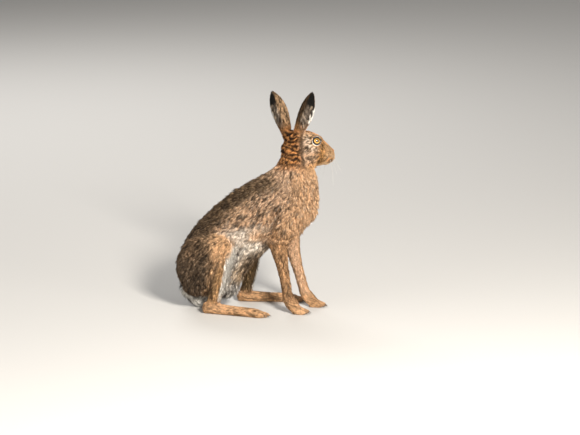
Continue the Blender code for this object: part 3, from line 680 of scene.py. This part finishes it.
def build_skin(flesh, shift):
    """One closed skin from the nodes of flesh, with the weight of each part at every vertex."""
    edit = bmesh.new()
    for obj in flesh.values():
        edit.from_mesh(obj.data)
    mesh = bpy.data.meshes.new("skin")
    edit.to_mesh(mesh)
    edit.free()
    skin = add_object("skin", mesh)
    remesh = skin.modifiers.new("remesh", "REMESH")
    remesh.mode = "VOXEL"
    remesh.voxel_size = SKIN_VOXEL
    soften = skin.modifiers.new("soften", "SMOOTH")
    soften.factor = 0.5
    soften.iterations = SKIN_SMOOTHING
    skin.modifiers.new("triangles", "TRIANGULATE")
    thin = skin.modifiers.new("thin", "DECIMATE")
    thin.ratio = SKIN_KEPT
    apply_modifiers(skin)
    points = read_points(skin.data)

    names = list(flesh)
    tree = KDTree(sum(len(obj.data.vertices) for obj in flesh.values()))
    owner = []
    for k, name in enumerate(names):
        for vertex in flesh[name].data.vertices:
            tree.insert(vertex.co, len(owner))
            owner.append(k)
    tree.balance()
    nearest = np.array([owner[tree.find(p)[1]] for p in points])
    table = np.array([[name.split("_")[0] == part for part in PARTS] for name in names], float)
    weights = table[nearest]
    place = points / CM - shift
    for top, end in FOREARM.values():
        arm = (segment_distance(place, top, end) < 2.7) & (place[:, 2] < 17.0)
        weights[arm] = [part == "foreleg" for part in PARTS]
    edges = edges_of(skin.data)
    weights = blurred(weights, edges, 10)
    weights /= weights.sum(axis=1, keepdims=True)

    share = dict(zip(PARTS, weights.T))
    from_knee = place[:, 0] - np.where(place[:, 1] < 0, KNEE["right"], KNEE["left"])
    wide = blurred(np.clip(5.0 * share["torso"] * share["thigh"], 0, 1), edges, 12)
    seam = np.clip(2.5 * wide * step(from_knee, -1.0, -4.0), 0, 1)
    points = mix(points, blurred(points, edges, 40), seam)
    for sign in SIDES.values():
        away = np.linalg.norm(place - eye_middle(sign, 0.0), axis=1)
        points[:, 2] -= EYE_LOWERED * CM * step(away, 2.8, 1.2)
    skin.data.vertices.foreach_set("co", points.ravel())
    skin.data.update()
    return skin, points, weights


def surface(points, normals, weights, shift):
    return Surface(points / CM - shift, normals, {part: weights[:, k] for k, part in enumerate(PARTS)})


def put_colours(mesh, name, colours):
    layer = mesh.color_attributes.new(name, "FLOAT_COLOR", "POINT")
    solid = np.hstack([colours, np.ones((len(colours), 1))])
    layer.data.foreach_set("color", solid.astype(np.float32).ravel())


def feed(tree, socket, value):
    """Sets an input to a value, or links it to the output of another node."""
    if isinstance(value, bpy.types.NodeSocket):
        tree.links.new(value, socket)
    else:
        socket.default_value = value


def node(tree, kind, **values):
    """A shader node, with what its inputs and its settings of those names get."""
    made = tree.nodes.new(kind)
    for key, value in values.items():
        if key in made.inputs:
            feed(tree, made.inputs[key], value)
        else:
            setattr(made, key, value)
    return made


def maths(tree, operation, *values):
    made = node(tree, "ShaderNodeMath", operation=operation)
    for socket, value in zip(made.inputs, values):
        feed(tree, socket, value)
    return made.outputs[0]


def noise_value(tree, vector=None, **values):
    """Noise over the object's own coordinates, or over those given."""
    if vector is None:
        vector = node(tree, "ShaderNodeTexCoord").outputs["Object"]
    return node(tree, "ShaderNodeTexNoise", Vector=vector, **values).outputs["Fac"]


def ranged(tree, value, to_low, to_high, low=0.0, high=1.0):
    """A value between low and high, carried over to between two others."""
    limits = {"From Min": low, "From Max": high, "To Min": to_low, "To Max": to_high}
    return node(tree, "ShaderNodeMapRange", Value=value, **limits).outputs["Result"]


def multiplied(tree, colour, by, amount=1.0):
    made = node(tree, "ShaderNodeMixRGB", blend_type="MULTIPLY", Fac=amount, Color1=colour, Color2=by)
    return made.outputs["Color"]


def ramp(tree, value, stops):
    """A colour for a value between 0 and 1, from positions and colours that start at 0 and end at 1."""
    made = node(tree, "ShaderNodeValToRGB", Fac=value)
    elements = made.color_ramp.elements
    for position, colour in stops:
        ends = {0.0: elements[0], 1.0: elements[-1]}
        stop = ends[position] if position in ends else elements.new(position)
        stop.color = (*colour, 1)
    return made.outputs["Color"]


def roughen(tree, shader, height, strength, distance):
    relief = node(tree, "ShaderNodeBump", Strength=strength, Distance=distance, Height=height)
    tree.links.new(relief.outputs["Normal"], shader.inputs["Normal"])


def material(name, roughness, specular=0.3):
    made = bpy.data.materials.new(name)
    made.use_nodes = True
    shader = made.node_tree.nodes["Principled BSDF"]
    shader.inputs["Roughness"].default_value = roughness
    shader.inputs["Specular IOR Level"].default_value = specular
    return made, made.node_tree, shader


def fur_material(name, roughness=0.72, bump=0.0):
    """Coat colours from the mesh, broken up by fine strand noise."""
    made, tree, shader = material(name, roughness, 0.16)
    coat = node(tree, "ShaderNodeVertexColor", layer_name="coat").outputs["Color"]
    strands = noise_value(tree, Scale=420.0, Detail=3.0, Roughness=0.6)
    toned = multiplied(tree, coat, ranged(tree, strands, 0.72, 1.25, 0.3, 0.7))
    tree.links.new(toned, shader.inputs["Base Color"])
    if bump:
        roughen(tree, shader, strands, bump, 0.0012)
    return made


def unwrap(skin):
    """Unwraps the skin. A tuft takes its place in the map from the face it is rooted on."""
    bpy.context.view_layer.objects.active = skin
    skin.select_set(True)
    bpy.ops.object.mode_set(mode="EDIT")
    bpy.ops.mesh.select_all(action="SELECT")
    bpy.ops.uv.smart_project(angle_limit=math.radians(66), island_margin=0.002)
    bpy.ops.object.mode_set(mode="OBJECT")
    skin.data.uv_layers.active.name = "OFBake"


def spread_tufts(mesh, density, generator):
    """Faces to root tufts on: even along a curve through space, as dense as asked at each face."""
    count = len(mesh.polygons)
    cells = np.floor(read(mesh.polygons, "center", 3) / CURVE_CELL).astype(np.int64) + 512
    code = np.zeros(count, np.int64)
    for bit in range(10):
        for axis in range(3):
            code |= (cells[:, axis] >> bit & 1) << (3 * bit + axis)
    order = np.argsort(code, kind="stable")
    wanted = np.cumsum((read(mesh.polygons, "area") / CM**2 * density)[order])
    marks = np.arange(int(wanted[-1])) + generator.random(int(wanted[-1]))
    return order[np.clip(np.searchsorted(wanted, marks), 0, count - 1)]


# The two shapes of tuft, both closed, as faces over three corners, the tip and, for the lock, a root.
# A spike is straight and stands on its corners. A lock has its corners at its bend.
SPIKE = ((0, 1, 3), (1, 2, 3), (2, 0, 3), (2, 1, 0))
LOCK = ((0, 1, 3), (1, 2, 3), (2, 0, 3), (1, 0, 4), (2, 1, 4), (0, 2, 4))
# Half the size of a tuft's patch in the map. In metres: the height under which hair is bent up from the
# floor, how softly, and the cell of the curve that spreads the tufts. Last, the most faces in a coat piece.
PATCH = 0.0015
ON_FLOOR = 0.001
FLOOR_SOFTNESS = 0.006
CURVE_CELL = 0.002
PIECE_FACES = 190000


def tuft_mesh(name, shape, tufts, picked):
    """Many tufts of one shape as one mesh, with the coat's colours and a patch of the map at each root."""
    roots, along, across, up = (tufts[key][picked] for key in ("root", "along", "across", "up"))
    length, half = tufts["length"][picked][:, None], tufts["width"][picked][:, None] / 2
    rise = tufts["rise"][picked][:, None]
    n = len(roots)
    first = along * np.cos(rise * 1.35) + up * np.sin(rise * 1.35)
    second = along * np.cos(rise * 0.55) + up * np.sin(rise * 0.55)
    bend = roots + first * length * 0.42
    tip = bend + second * length * 0.58
    foot = roots - first * length * 0.12
    bent = shape is LOCK
    thick = np.cross(first, across)
    corners = []
    for k in range(3):
        angle = 2 * math.pi * k / 3 + math.pi / 2
        offset = across * math.cos(angle) + thick * math.sin(angle) * 0.6
        corners.append((bend if bent else foot) + offset * half)
    points = np.stack(corners + [tip, foot][: 1 + bent], axis=1)
    height = points[..., 2]
    held = ON_FLOOR * np.exp((height - ON_FLOOR) / FLOOR_SOFTNESS)
    points[..., 2] = np.where(height < ON_FLOOR, held, height)
    count = points.shape[1]
    faces = np.array(shape)
    loops = (faces.ravel()[None] + count * np.arange(n)[:, None]).ravel()
    mesh = bpy.data.meshes.new(name)
    mesh.vertices.add(count * n)
    mesh.vertices.foreach_set("co", points.astype(np.float32).ravel())
    mesh.loops.add(len(loops))
    mesh.loops.foreach_set("vertex_index", loops.astype(np.int32))
    mesh.polygons.add(len(loops) // 3)
    mesh.polygons.foreach_set("loop_start", np.arange(0, len(loops), 3, dtype=np.int32))
    mesh.update(calc_edges=True)
    mesh.shade_smooth()
    root, middle, end = (tone[picked] for tone in tufts["colours"])
    lower = mix(root, middle, 0.65 if bent else 0.5)
    put_colours(mesh, "coat", np.stack(([lower] * 3 + [end, root])[:count], axis=1).reshape(-1, 3))
    spots = np.array(((-1, -0.3), (0, -0.3), (1, -0.3), (0, 1), (0, -1))[:count])
    spread = (tufts["uv"][picked][:, None] + spots[None] * PATCH).reshape(-1, 2)
    layer = mesh.uv_layers.new(name="OFBake")
    layer.uv.foreach_set("vector", np.clip(spread[loops], 0, 1).astype(np.float32).ravel())
    return mesh


def gather(roots, along, up, length, generator, share, strength):
    """Leans each tuft toward the middle of its clump. Returns the new directions and each tuft's clump."""
    centres = np.flatnonzero(generator.random(len(roots)) < share)
    tree = KDTree(len(centres))
    for k, centre in enumerate(centres):
        tree.insert(roots[centre], k)
    tree.balance()
    clump = np.array([tree.find(p)[1] for p in roots])
    pull = (roots[centres[clump]] - roots) / length[:, None] * strength[:, None]
    far = np.linalg.norm(pull, axis=1, keepdims=True)
    leaning = along + pull / np.maximum(far, 1e-9) * np.minimum(far, 0.75)
    return unit(leaning - up * np.sum(leaning * up, axis=1, keepdims=True)), clump


def root_tufts(skin, weights, shift):
    """Everything about each tuft: root, directions, sizes, colours, map place and surface data."""
    mesh = skin.data
    generator = np.random.default_rng(SEED)
    points, normals = read_points(mesh), read_normals(mesh)
    corner = read(mesh.loops, "vertex_index", 1, np.int64).reshape(-1, 3)
    uv = read(mesh.uv_layers["OFBake"].uv, "vector", 2).reshape(-1, 3, 2)
    middle, facing = points[corner].mean(axis=1), unit(normals[corner].sum(axis=1))
    s = surface(middle, facing, weights[corner].mean(axis=1), shift)
    bare = s.w["head"] * np.maximum.reduce([
        step(s.from_axis, 1.06, 1.00), step(s.mouth, 0.2, 0.12), step(s.nostril, 0.26, 0.16)
    ])
    under = (s.p[:, 2] < 0.25) & (s.n[:, 2] < -0.6)
    density = coat_numbers(s)[3] * (1 - bare) * ~under * (1 - 0.8 * s.toe_gap)
    faces = spread_tufts(mesh, density, generator)
    n = len(faces)
    share = generator.dirichlet((1.0, 1.0, 1.0), n)[:, :, None]
    chosen = corner[faces]
    roots = (points[chosen] * share).sum(axis=1)
    up = unit((normals[chosen] * share).sum(axis=1))
    own = surface(roots, up, (weights[chosen] * share).sum(axis=1), shift)
    length, width, rise, _ = coat_numbers(own)
    way = lie(own)
    way = unit(way - up * np.sum(way * up, axis=1, keepdims=True))
    across = np.cross(up, way)
    sleek = np.clip(0.75 * own.w["head"] + 0.8 * own.w["ear"], 0, 1)
    swirl = np.radians(24 * noise(own.p, 1.1, 21) + 14 * noise(own.p, 0.35, 22) + generator.normal(0, 6, n))
    swirl = (swirl * (1 - sleek))[:, None]
    along = way * np.cos(swirl) + across * np.sin(swirl)
    along, clump = gather(roots / CM, along, up, length, generator, CLUMP_SHARE, 1.1 * (1 - 0.7 * sleek))
    of_clump = generator.normal(0, 1, clump.max() + 1)[clump]
    second = generator.normal(0, 1, clump.max() + 1)[clump]
    longer = 1 + 0.10 * second + 0.14 * noise(own.p, 0.9, 23) + generator.normal(0, 0.1, n)
    length = length * np.clip(longer, 0.5, 1.4)
    width = width * np.clip(1 + generator.normal(0, 0.18, n), 0.6, 1.5)
    lift = 1 + (0.22 * second + 0.35 * noise(own.p, 0.7, 24)) * (1 - 0.5 * sleek)
    lift = lift + generator.normal(0, 0.16, n)
    tones = markings(own)
    calm = 1 - 0.65 * step(tones[1].max(axis=1), 0.5, 0.85)
    shade = np.exp(calm * (of_clump * (0.32 - 0.14 * sleek) + generator.normal(0, 0.24, n)))[:, None]
    return own, {
        "root": roots, "along": along, "across": np.cross(up, along), "up": up, "length": length * CM,
        "width": width * CM, "rise": np.radians(rise * np.clip(lift, 0.35, 2.0)),
        "colours": [limited(tone * shade) for tone in tones],
        "uv": (uv[faces] * share).sum(axis=1),
    }


def grow_coat(skin, weights, shift, fur):
    """The coat as pieces by part of the body, each under the limit of faces a piece."""
    own, tufts = root_tufts(skin, weights, shift)
    w = own.w
    groups = {
        "coat_head": (SPIKE, w["head"] + w["ear"]),
        "coat_legs": (SPIKE, w["shank"] + w["hindfoot"] + w["foreleg"] + w["forepaw"]),
        "coat_neck": (LOCK, w["neck"]),
        "coat_body": (LOCK, w["torso"]),
        "coat_haunch": (LOCK, w["thigh"] + w["tail"]),
    }
    group = np.argmax(np.stack([weight for _, weight in groups.values()]), axis=0)
    made = []
    for k, (name, (shape, _)) in enumerate(groups.items()):
        chosen = np.flatnonzero(group == k)
        pieces = math.ceil(len(chosen) / (PIECE_FACES // len(shape)))
        order = chosen[np.argsort(own.p[chosen, 1])]
        for part, picked in enumerate(np.array_split(order, pieces)):
            piece_name = f"{name}_{part + 1}" if pieces > 1 else name
            piece = tuft_mesh(piece_name, shape, tufts, picked)
            made.append(add_piece(piece_name, piece, fur))
    return made


def ball_mesh(radius):
    edit = bmesh.new()
    bmesh.ops.create_uvsphere(edit, u_segments=48, v_segments=32, radius=radius)
    mesh = bpy.data.meshes.new("ball")
    edit.to_mesh(mesh)
    edit.free()
    mesh.shade_smooth()
    return mesh


# The eye's colours from its middle outwards, at shares of its radius.
IRIS = (
    (0.0, (0.002, 0.002, 0.002)), (0.29, (0.002, 0.002, 0.002)), (0.34, (0.30, 0.13, 0.015)),
    (0.44, (0.62, 0.31, 0.04)), (0.54, (0.78, 0.45, 0.09)), (0.61, (0.34, 0.16, 0.02)),
    (0.66, (0.02, 0.012, 0.008)), (1.0, (0.02, 0.012, 0.008)),
)


def eye_material():
    """Black pupil, amber iris with darker rays and rim, dark ring, and a painted lid shadow over the upper
    part. Local +Z is the way it looks.
    """
    made, tree, shader = material("eye_amber", 0.06, 0.5)
    shader.inputs["Coat Weight"].default_value = 0.8
    shader.inputs["Coat Roughness"].default_value = 0.03
    place = node(tree, "ShaderNodeTexCoord").outputs["Object"]
    split = node(tree, "ShaderNodeSeparateXYZ", Vector=place)
    x, y = split.outputs["X"], split.outputs["Y"]
    squares = []
    for axis, stretch in ((x, 0.92), (y, 1.08)):
        squares.append(maths(tree, "POWER", maths(tree, "MULTIPLY", axis, stretch), 2.0))
    away = maths(tree, "SQRT", maths(tree, "ADD", *squares))
    iris = ramp(tree, maths(tree, "DIVIDE", away, EYE_RADIUS * CM), IRIS)
    flat = node(tree, "ShaderNodeCombineXYZ", X=x, Y=y).outputs["Vector"]
    around = node(tree, "ShaderNodeVectorMath", operation="NORMALIZE", Vector=flat).outputs["Vector"]
    rays = noise_value(tree, around, Scale=7.0, Detail=5.0)
    toned = multiplied(tree, iris, ranged(tree, rays, 0.45, 1.45), 0.8)
    # Painted shadow of the lid: the upper part of the eye darkened.
    lid_shadow = ranged(tree, y, 1.0, 0.42, -0.1 * EYE_RADIUS * CM, 0.5 * EYE_RADIUS * CM)
    tree.links.new(multiplied(tree, toned, lid_shadow), shader.inputs["Base Color"])
    return made


def dark_material(name, colour, roughness):
    """Bare skin or horn: one dark colour, mottled and finely pitted."""
    made, tree, shader = material(name, roughness, 0.4)
    mottle = noise_value(tree, Scale=300.0, Detail=4.0)
    stops = [(position, [factor * c for c in colour]) for position, factor in ((0.0, 0.6), (1.0, 1.5))]
    tree.links.new(ramp(tree, mottle, stops), shader.inputs["Base Color"])
    roughen(tree, shader, mottle, 0.4, 0.0004)
    return made


def whisker_material():
    made, tree, shader = material("whisker", 0.35, 0.5)
    stops = ((0.0, (0.12, 0.10, 0.08)), (1.0, (0.80, 0.76, 0.70)))
    tree.links.new(ramp(tree, noise_value(tree, Scale=60.0), stops), shader.inputs["Base Color"])
    return made


def place(point, shift):
    return Vector((np.asarray(point) + shift) * CM)


def add_eyes(shift):
    look_of = eye_material()
    for side, sign in SIDES.items():
        look, along, _ = eye_frame(sign)
        mesh = ball_mesh(EYE_RADIUS * CM * 0.995)
        bulge = read_points(mesh)
        front = np.clip((bulge[:, 2] / (EYE_RADIUS * CM) - 0.62) / 0.38, 0, 1)
        bulge *= (1 + 0.06 * front**1.5)[:, None]
        mesh.vertices.foreach_set("co", bulge.ravel())
        eye = add_piece("eyeball_" + side, mesh, look_of)
        third = np.cross(look, along)
        if third[2] < 0:
            along, third = -along, -third
        turn = Matrix((along, third, look)).transposed().to_4x4()
        eye.matrix_world = Matrix.Translation(place(eye_middle(sign), shift)) @ turn
        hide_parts("eye_" + side)
        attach(eye, "root")


def ring_tube(name, path, outward, radius):
    """A closed round bead along a closed path."""
    n, sides = len(path), 8
    ahead = unit(np.roll(path, -1, axis=0) - np.roll(path, 1, axis=0))
    side_way = unit(np.cross(ahead, outward))
    up_way = np.cross(side_way, ahead)
    points = []
    for k in range(sides):
        angle = 2 * math.pi * k / sides
        points.append(path + radius * (side_way * math.cos(angle) + up_way * math.sin(angle)))
    points = np.stack(points, axis=1).reshape(-1, 3)
    faces = []
    for k in range(n):
        here, following = k * sides, (k + 1) % n * sides
        for j in range(sides):
            other = (j + 1) % sides
            faces.append((here + j, following + j, following + other, here + other))
    mesh = bpy.data.meshes.new(name)
    mesh.from_pydata([tuple(p) for p in points], [], faces)
    mesh.update()
    mesh.shade_smooth()
    return mesh


def add_lids(shift, skin_of):
    """The bare dark edge of the lids, an almond bead that lies on the eyeball."""
    for side, sign in SIDES.items():
        look, along, rise = eye_frame(sign)
        path, outward = [], []
        for k in range(64):
            angle = 2 * math.pi * k / 64
            corner = 1 + 0.09 * abs(math.cos(angle)) ** 8
            a, b = LID_EDGE[0] * corner * math.cos(angle), LID_EDGE[1] * math.sin(angle)
            depth = math.sqrt(max(0.02, EYE_RADIUS**2 - a * a - b * b))
            out = unit(along * a + rise * b + look * depth)
            path.append(eye_middle(sign) + out * (EYE_RADIUS + 0.04))
            outward.append(out)
        path = np.array([np.array(place(p, shift)) for p in path])
        mesh = ring_tube("lid_" + side, path, np.array(outward), LID_BEAD * CM)
        lid = add_piece("lid_" + side, mesh, skin_of)
        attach(lid, "root")


def tapered_hairs(name, paths, radius, taper=0.15):
    """Hairs or claws as closed tapered tubes along paths in metres. The radius is that of the root."""
    edit = bmesh.new()
    sides = 5
    for path in paths:
        ways = unit(np.gradient(path, axis=0))
        rings = []
        for k, (p, way) in enumerate(zip(path, ways)):
            share = k / (len(path) - 1)
            r = radius * (1 - (1 - taper) * share)
            across = unit(np.cross(way, (0.3, 0.4, 0.86)))
            other = np.cross(way, across)
            ring = []
            for j in range(sides):
                angle = 2 * math.pi * j / sides
                ring.append(edit.verts.new(p + r * (across * math.cos(angle) + other * math.sin(angle))))
            rings.append(ring)
        for low, high in zip(rings[:-1], rings[1:]):
            for j in range(sides):
                edit.faces.new((low[j], low[(j + 1) % sides], high[(j + 1) % sides], high[j]))
        edit.faces.new(list(reversed(rings[0])))
        edit.faces.new(rings[-1])
    bmesh.ops.recalc_face_normals(edit, faces=edit.faces)
    mesh = bpy.data.meshes.new(name)
    edit.to_mesh(mesh)
    edit.free()
    mesh.shade_smooth()
    return mesh


def add_whiskers(shift):
    look_of = whisker_material()
    generator = np.random.default_rng(SEED + 1)
    for side, sign in SIDES.items():
        paths = []
        fall = np.array((-0.1, 0.15 * sign, -1.0))
        for k in range(13):
            row, column = k % 4, k // 4
            start = np.array((9.75 - 0.42 * column, (1.0 + 0.17 * column) * sign, -1.75 - 0.3 * row))
            length = (3.7 + 0.8 * column) * (1 + generator.normal(0, 0.15))
            out = np.array((0.25 - 0.22 * column + 0.07 * row, 0.8 * sign, -0.1 - 0.25 * row))
            out = unit(out + generator.normal(0, 0.12, 3))
            path = []
            for t in np.linspace(0, 1, 9):
                point = start + length * (out * t * (1 - 0.3 * t) + fall * 0.5 * t**2)
                path.append(place(head_point(point), shift))
            paths.append(np.array(path))
        mesh = tapered_hairs("whiskers_" + side, paths, WHISKER_RADIUS * CM)
        piece = add_piece("whiskers_" + side, mesh, look_of)
        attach(piece, "root")


def add_claws(shift):
    horn = dark_material("claw_horn", (0.07, 0.05, 0.035), 0.4)
    for foot, ((x0, y0), reach, splay, toes, sign) in FEET.items():
        out = math.radians(splay)
        way = np.array((math.cos(out), math.sin(out) * sign, 0.0))
        side_way = np.array((-math.sin(out), math.cos(out) * sign, 0.0))
        paths = []
        for spread, toe in zip(TOE_SPREAD, toes):
            start = np.array((x0, y0 * sign, 0.0)) + way * (reach + toe) + side_way * spread
            path = []
            for t in np.linspace(0, 1, 6):
                path.append(place(start + way * (0.05 + 0.68 * t) + (0, 0, 0.52 - 0.36 * t**1.7), shift))
            paths.append(np.array(path))
        mesh = tapered_hairs("claws_" + foot, paths, CLAW_RADIUS * CM, taper=0.2)
        piece = add_piece("claws_" + foot, mesh, horn)
        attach(piece, "root")


# The photo's view: where the design frame's origin falls in it, its scale and the camera's angles.
FRAME_WIDE, FRAME_HIGH = 580.0, 435.0
PIXELS_PER_CM = 4.5
ORIGIN_PIXEL = (250.0, 308.0)
AZIMUTH, ELEVATION = math.radians(8.0), math.radians(13.0)
CAMERA_AWAY = 800.0
SENSOR = 36.0
# Each light's place, size in metres, power and colour. All are aimed at the middle of the body.
LIGHTS = {
    "key": ((1.35, -2.5, 1.7), 0.6, 178.0, (1.0, 0.96, 0.90)),
    "fill": ((-2.2, -2.2, 1.2), 2.5, 24.0, (1.0, 0.98, 0.95)),
    "low": ((1.9, -1.3, 0.35), 1.0, 16.0, (1.0, 0.97, 0.92)),
    "rim": ((-1.2, 2.4, 2.2), 1.8, 50.0, (1.0, 1.0, 1.0)),
}
LIGHT_AIM = Vector((0.0, 0.0, 0.22))


def add_camera(shift):
    right = np.array((math.cos(AZIMUTH), math.sin(AZIMUTH), 0.0))
    level = np.array((math.sin(AZIMUTH), -math.cos(AZIMUTH), 0.0))
    back = level * math.cos(ELEVATION) + (0.0, 0.0, math.sin(ELEVATION))
    up = np.cross(back, right)
    middle = right * ((FRAME_WIDE / 2 - ORIGIN_PIXEL[0]) / PIXELS_PER_CM)
    middle = middle + up * ((ORIGIN_PIXEL[1] - FRAME_HIGH / 2) / PIXELS_PER_CM)
    data = bpy.data.cameras.new("camera")
    data.sensor_width = SENSOR
    data.lens = SENSOR * CAMERA_AWAY / (FRAME_WIDE / PIXELS_PER_CM)
    data.clip_end = 100.0
    camera = add_object("camera", data)
    turn = Matrix((right, up, back)).transposed().to_4x4()
    camera.matrix_world = Matrix.Translation(place(middle + back * CAMERA_AWAY, shift)) @ turn
    bpy.context.scene.camera = camera


def add_light(name, where, size, power, colour):
    data = bpy.data.lights.new(name, "AREA")
    data.size = size
    data.energy = power
    data.color = colour
    light = add_object(name, data)
    light.location = where
    light.rotation_euler = (LIGHT_AIM - Vector(where)).to_track_quat("-Z", "Y").to_euler()


def add_studio():
    bpy.ops.mesh.primitive_plane_add(size=60.0, location=(0.0, 0.0, 0.0))
    floor = bpy.context.object
    floor.name = "floor"
    made, _, shader = material("floor_pale", 0.9, 0.1)
    shader.inputs["Base Color"].default_value = (0.62, 0.60, 0.57, 1)
    floor.data.materials.append(made)
    for name, light in LIGHTS.items():
        add_light(name, *light)
    world = bpy.data.worlds.new("world")
    bpy.context.scene.world = world
    world.use_nodes = True
    background = world.node_tree.nodes["Background"]
    background.inputs["Color"].default_value = (0.90, 0.90, 0.90, 1)
    background.inputs["Strength"].default_value = 0.32
    bpy.context.scene.view_settings.view_transform = "Standard"


def finish_skin(skin, points, weights, shift):
    """Sinks the skin into the solids by the depth of the coat over it, and gives it the coat's colours."""
    s = surface(points, read_normals(skin.data), weights, shift)
    depth = blurred(coat_depth(s), edges_of(skin.data), 8) + hollows(s)
    points = points - read_normals(skin.data) * (depth * CM)[:, None]
    for side, near in s.near_ear.items():
        along = s.ear(side)[0]
        shorter = s.w["ear"] * near * step(along, 0.3, 1.0) * EAR_FUR_TIP * CM
        points = points - shorter[:, None] * ear_frame(side)[2]
    skin.data.vertices.foreach_set("co", points.ravel())
    skin.data.update()
    skin.data.shade_smooth()
    s = surface(points, read_normals(skin.data), weights, shift)
    root, middle, _ = markings(s)
    put_colours(skin.data, "coat", mix(root, middle, 0.55))
    unwrap(skin)
    skin.data.materials.clear()
    skin.data.materials.append(fur_material("skin_fur", 0.85, bump=0.8))


def main():
    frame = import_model()
    shift = model_shift()
    add_camera(shift)
    add_studio()

    flesh = {name: obj for name, obj in frame["nodes"].items() if not name.startswith("eye")}
    skin, points, weights = build_skin(flesh, shift)
    finish_skin(skin, points, weights, shift)
    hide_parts(*flesh)
    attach(skin, "root")

    fur = fur_material("coat_fur")
    for piece in grow_coat(skin, weights, shift, fur):
        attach(piece, "root")
    add_eyes(shift)
    add_lids(shift, dark_material("lid_skin", LID_DARK, 0.35))
    add_whiskers(shift)
    add_claws(shift)


main()
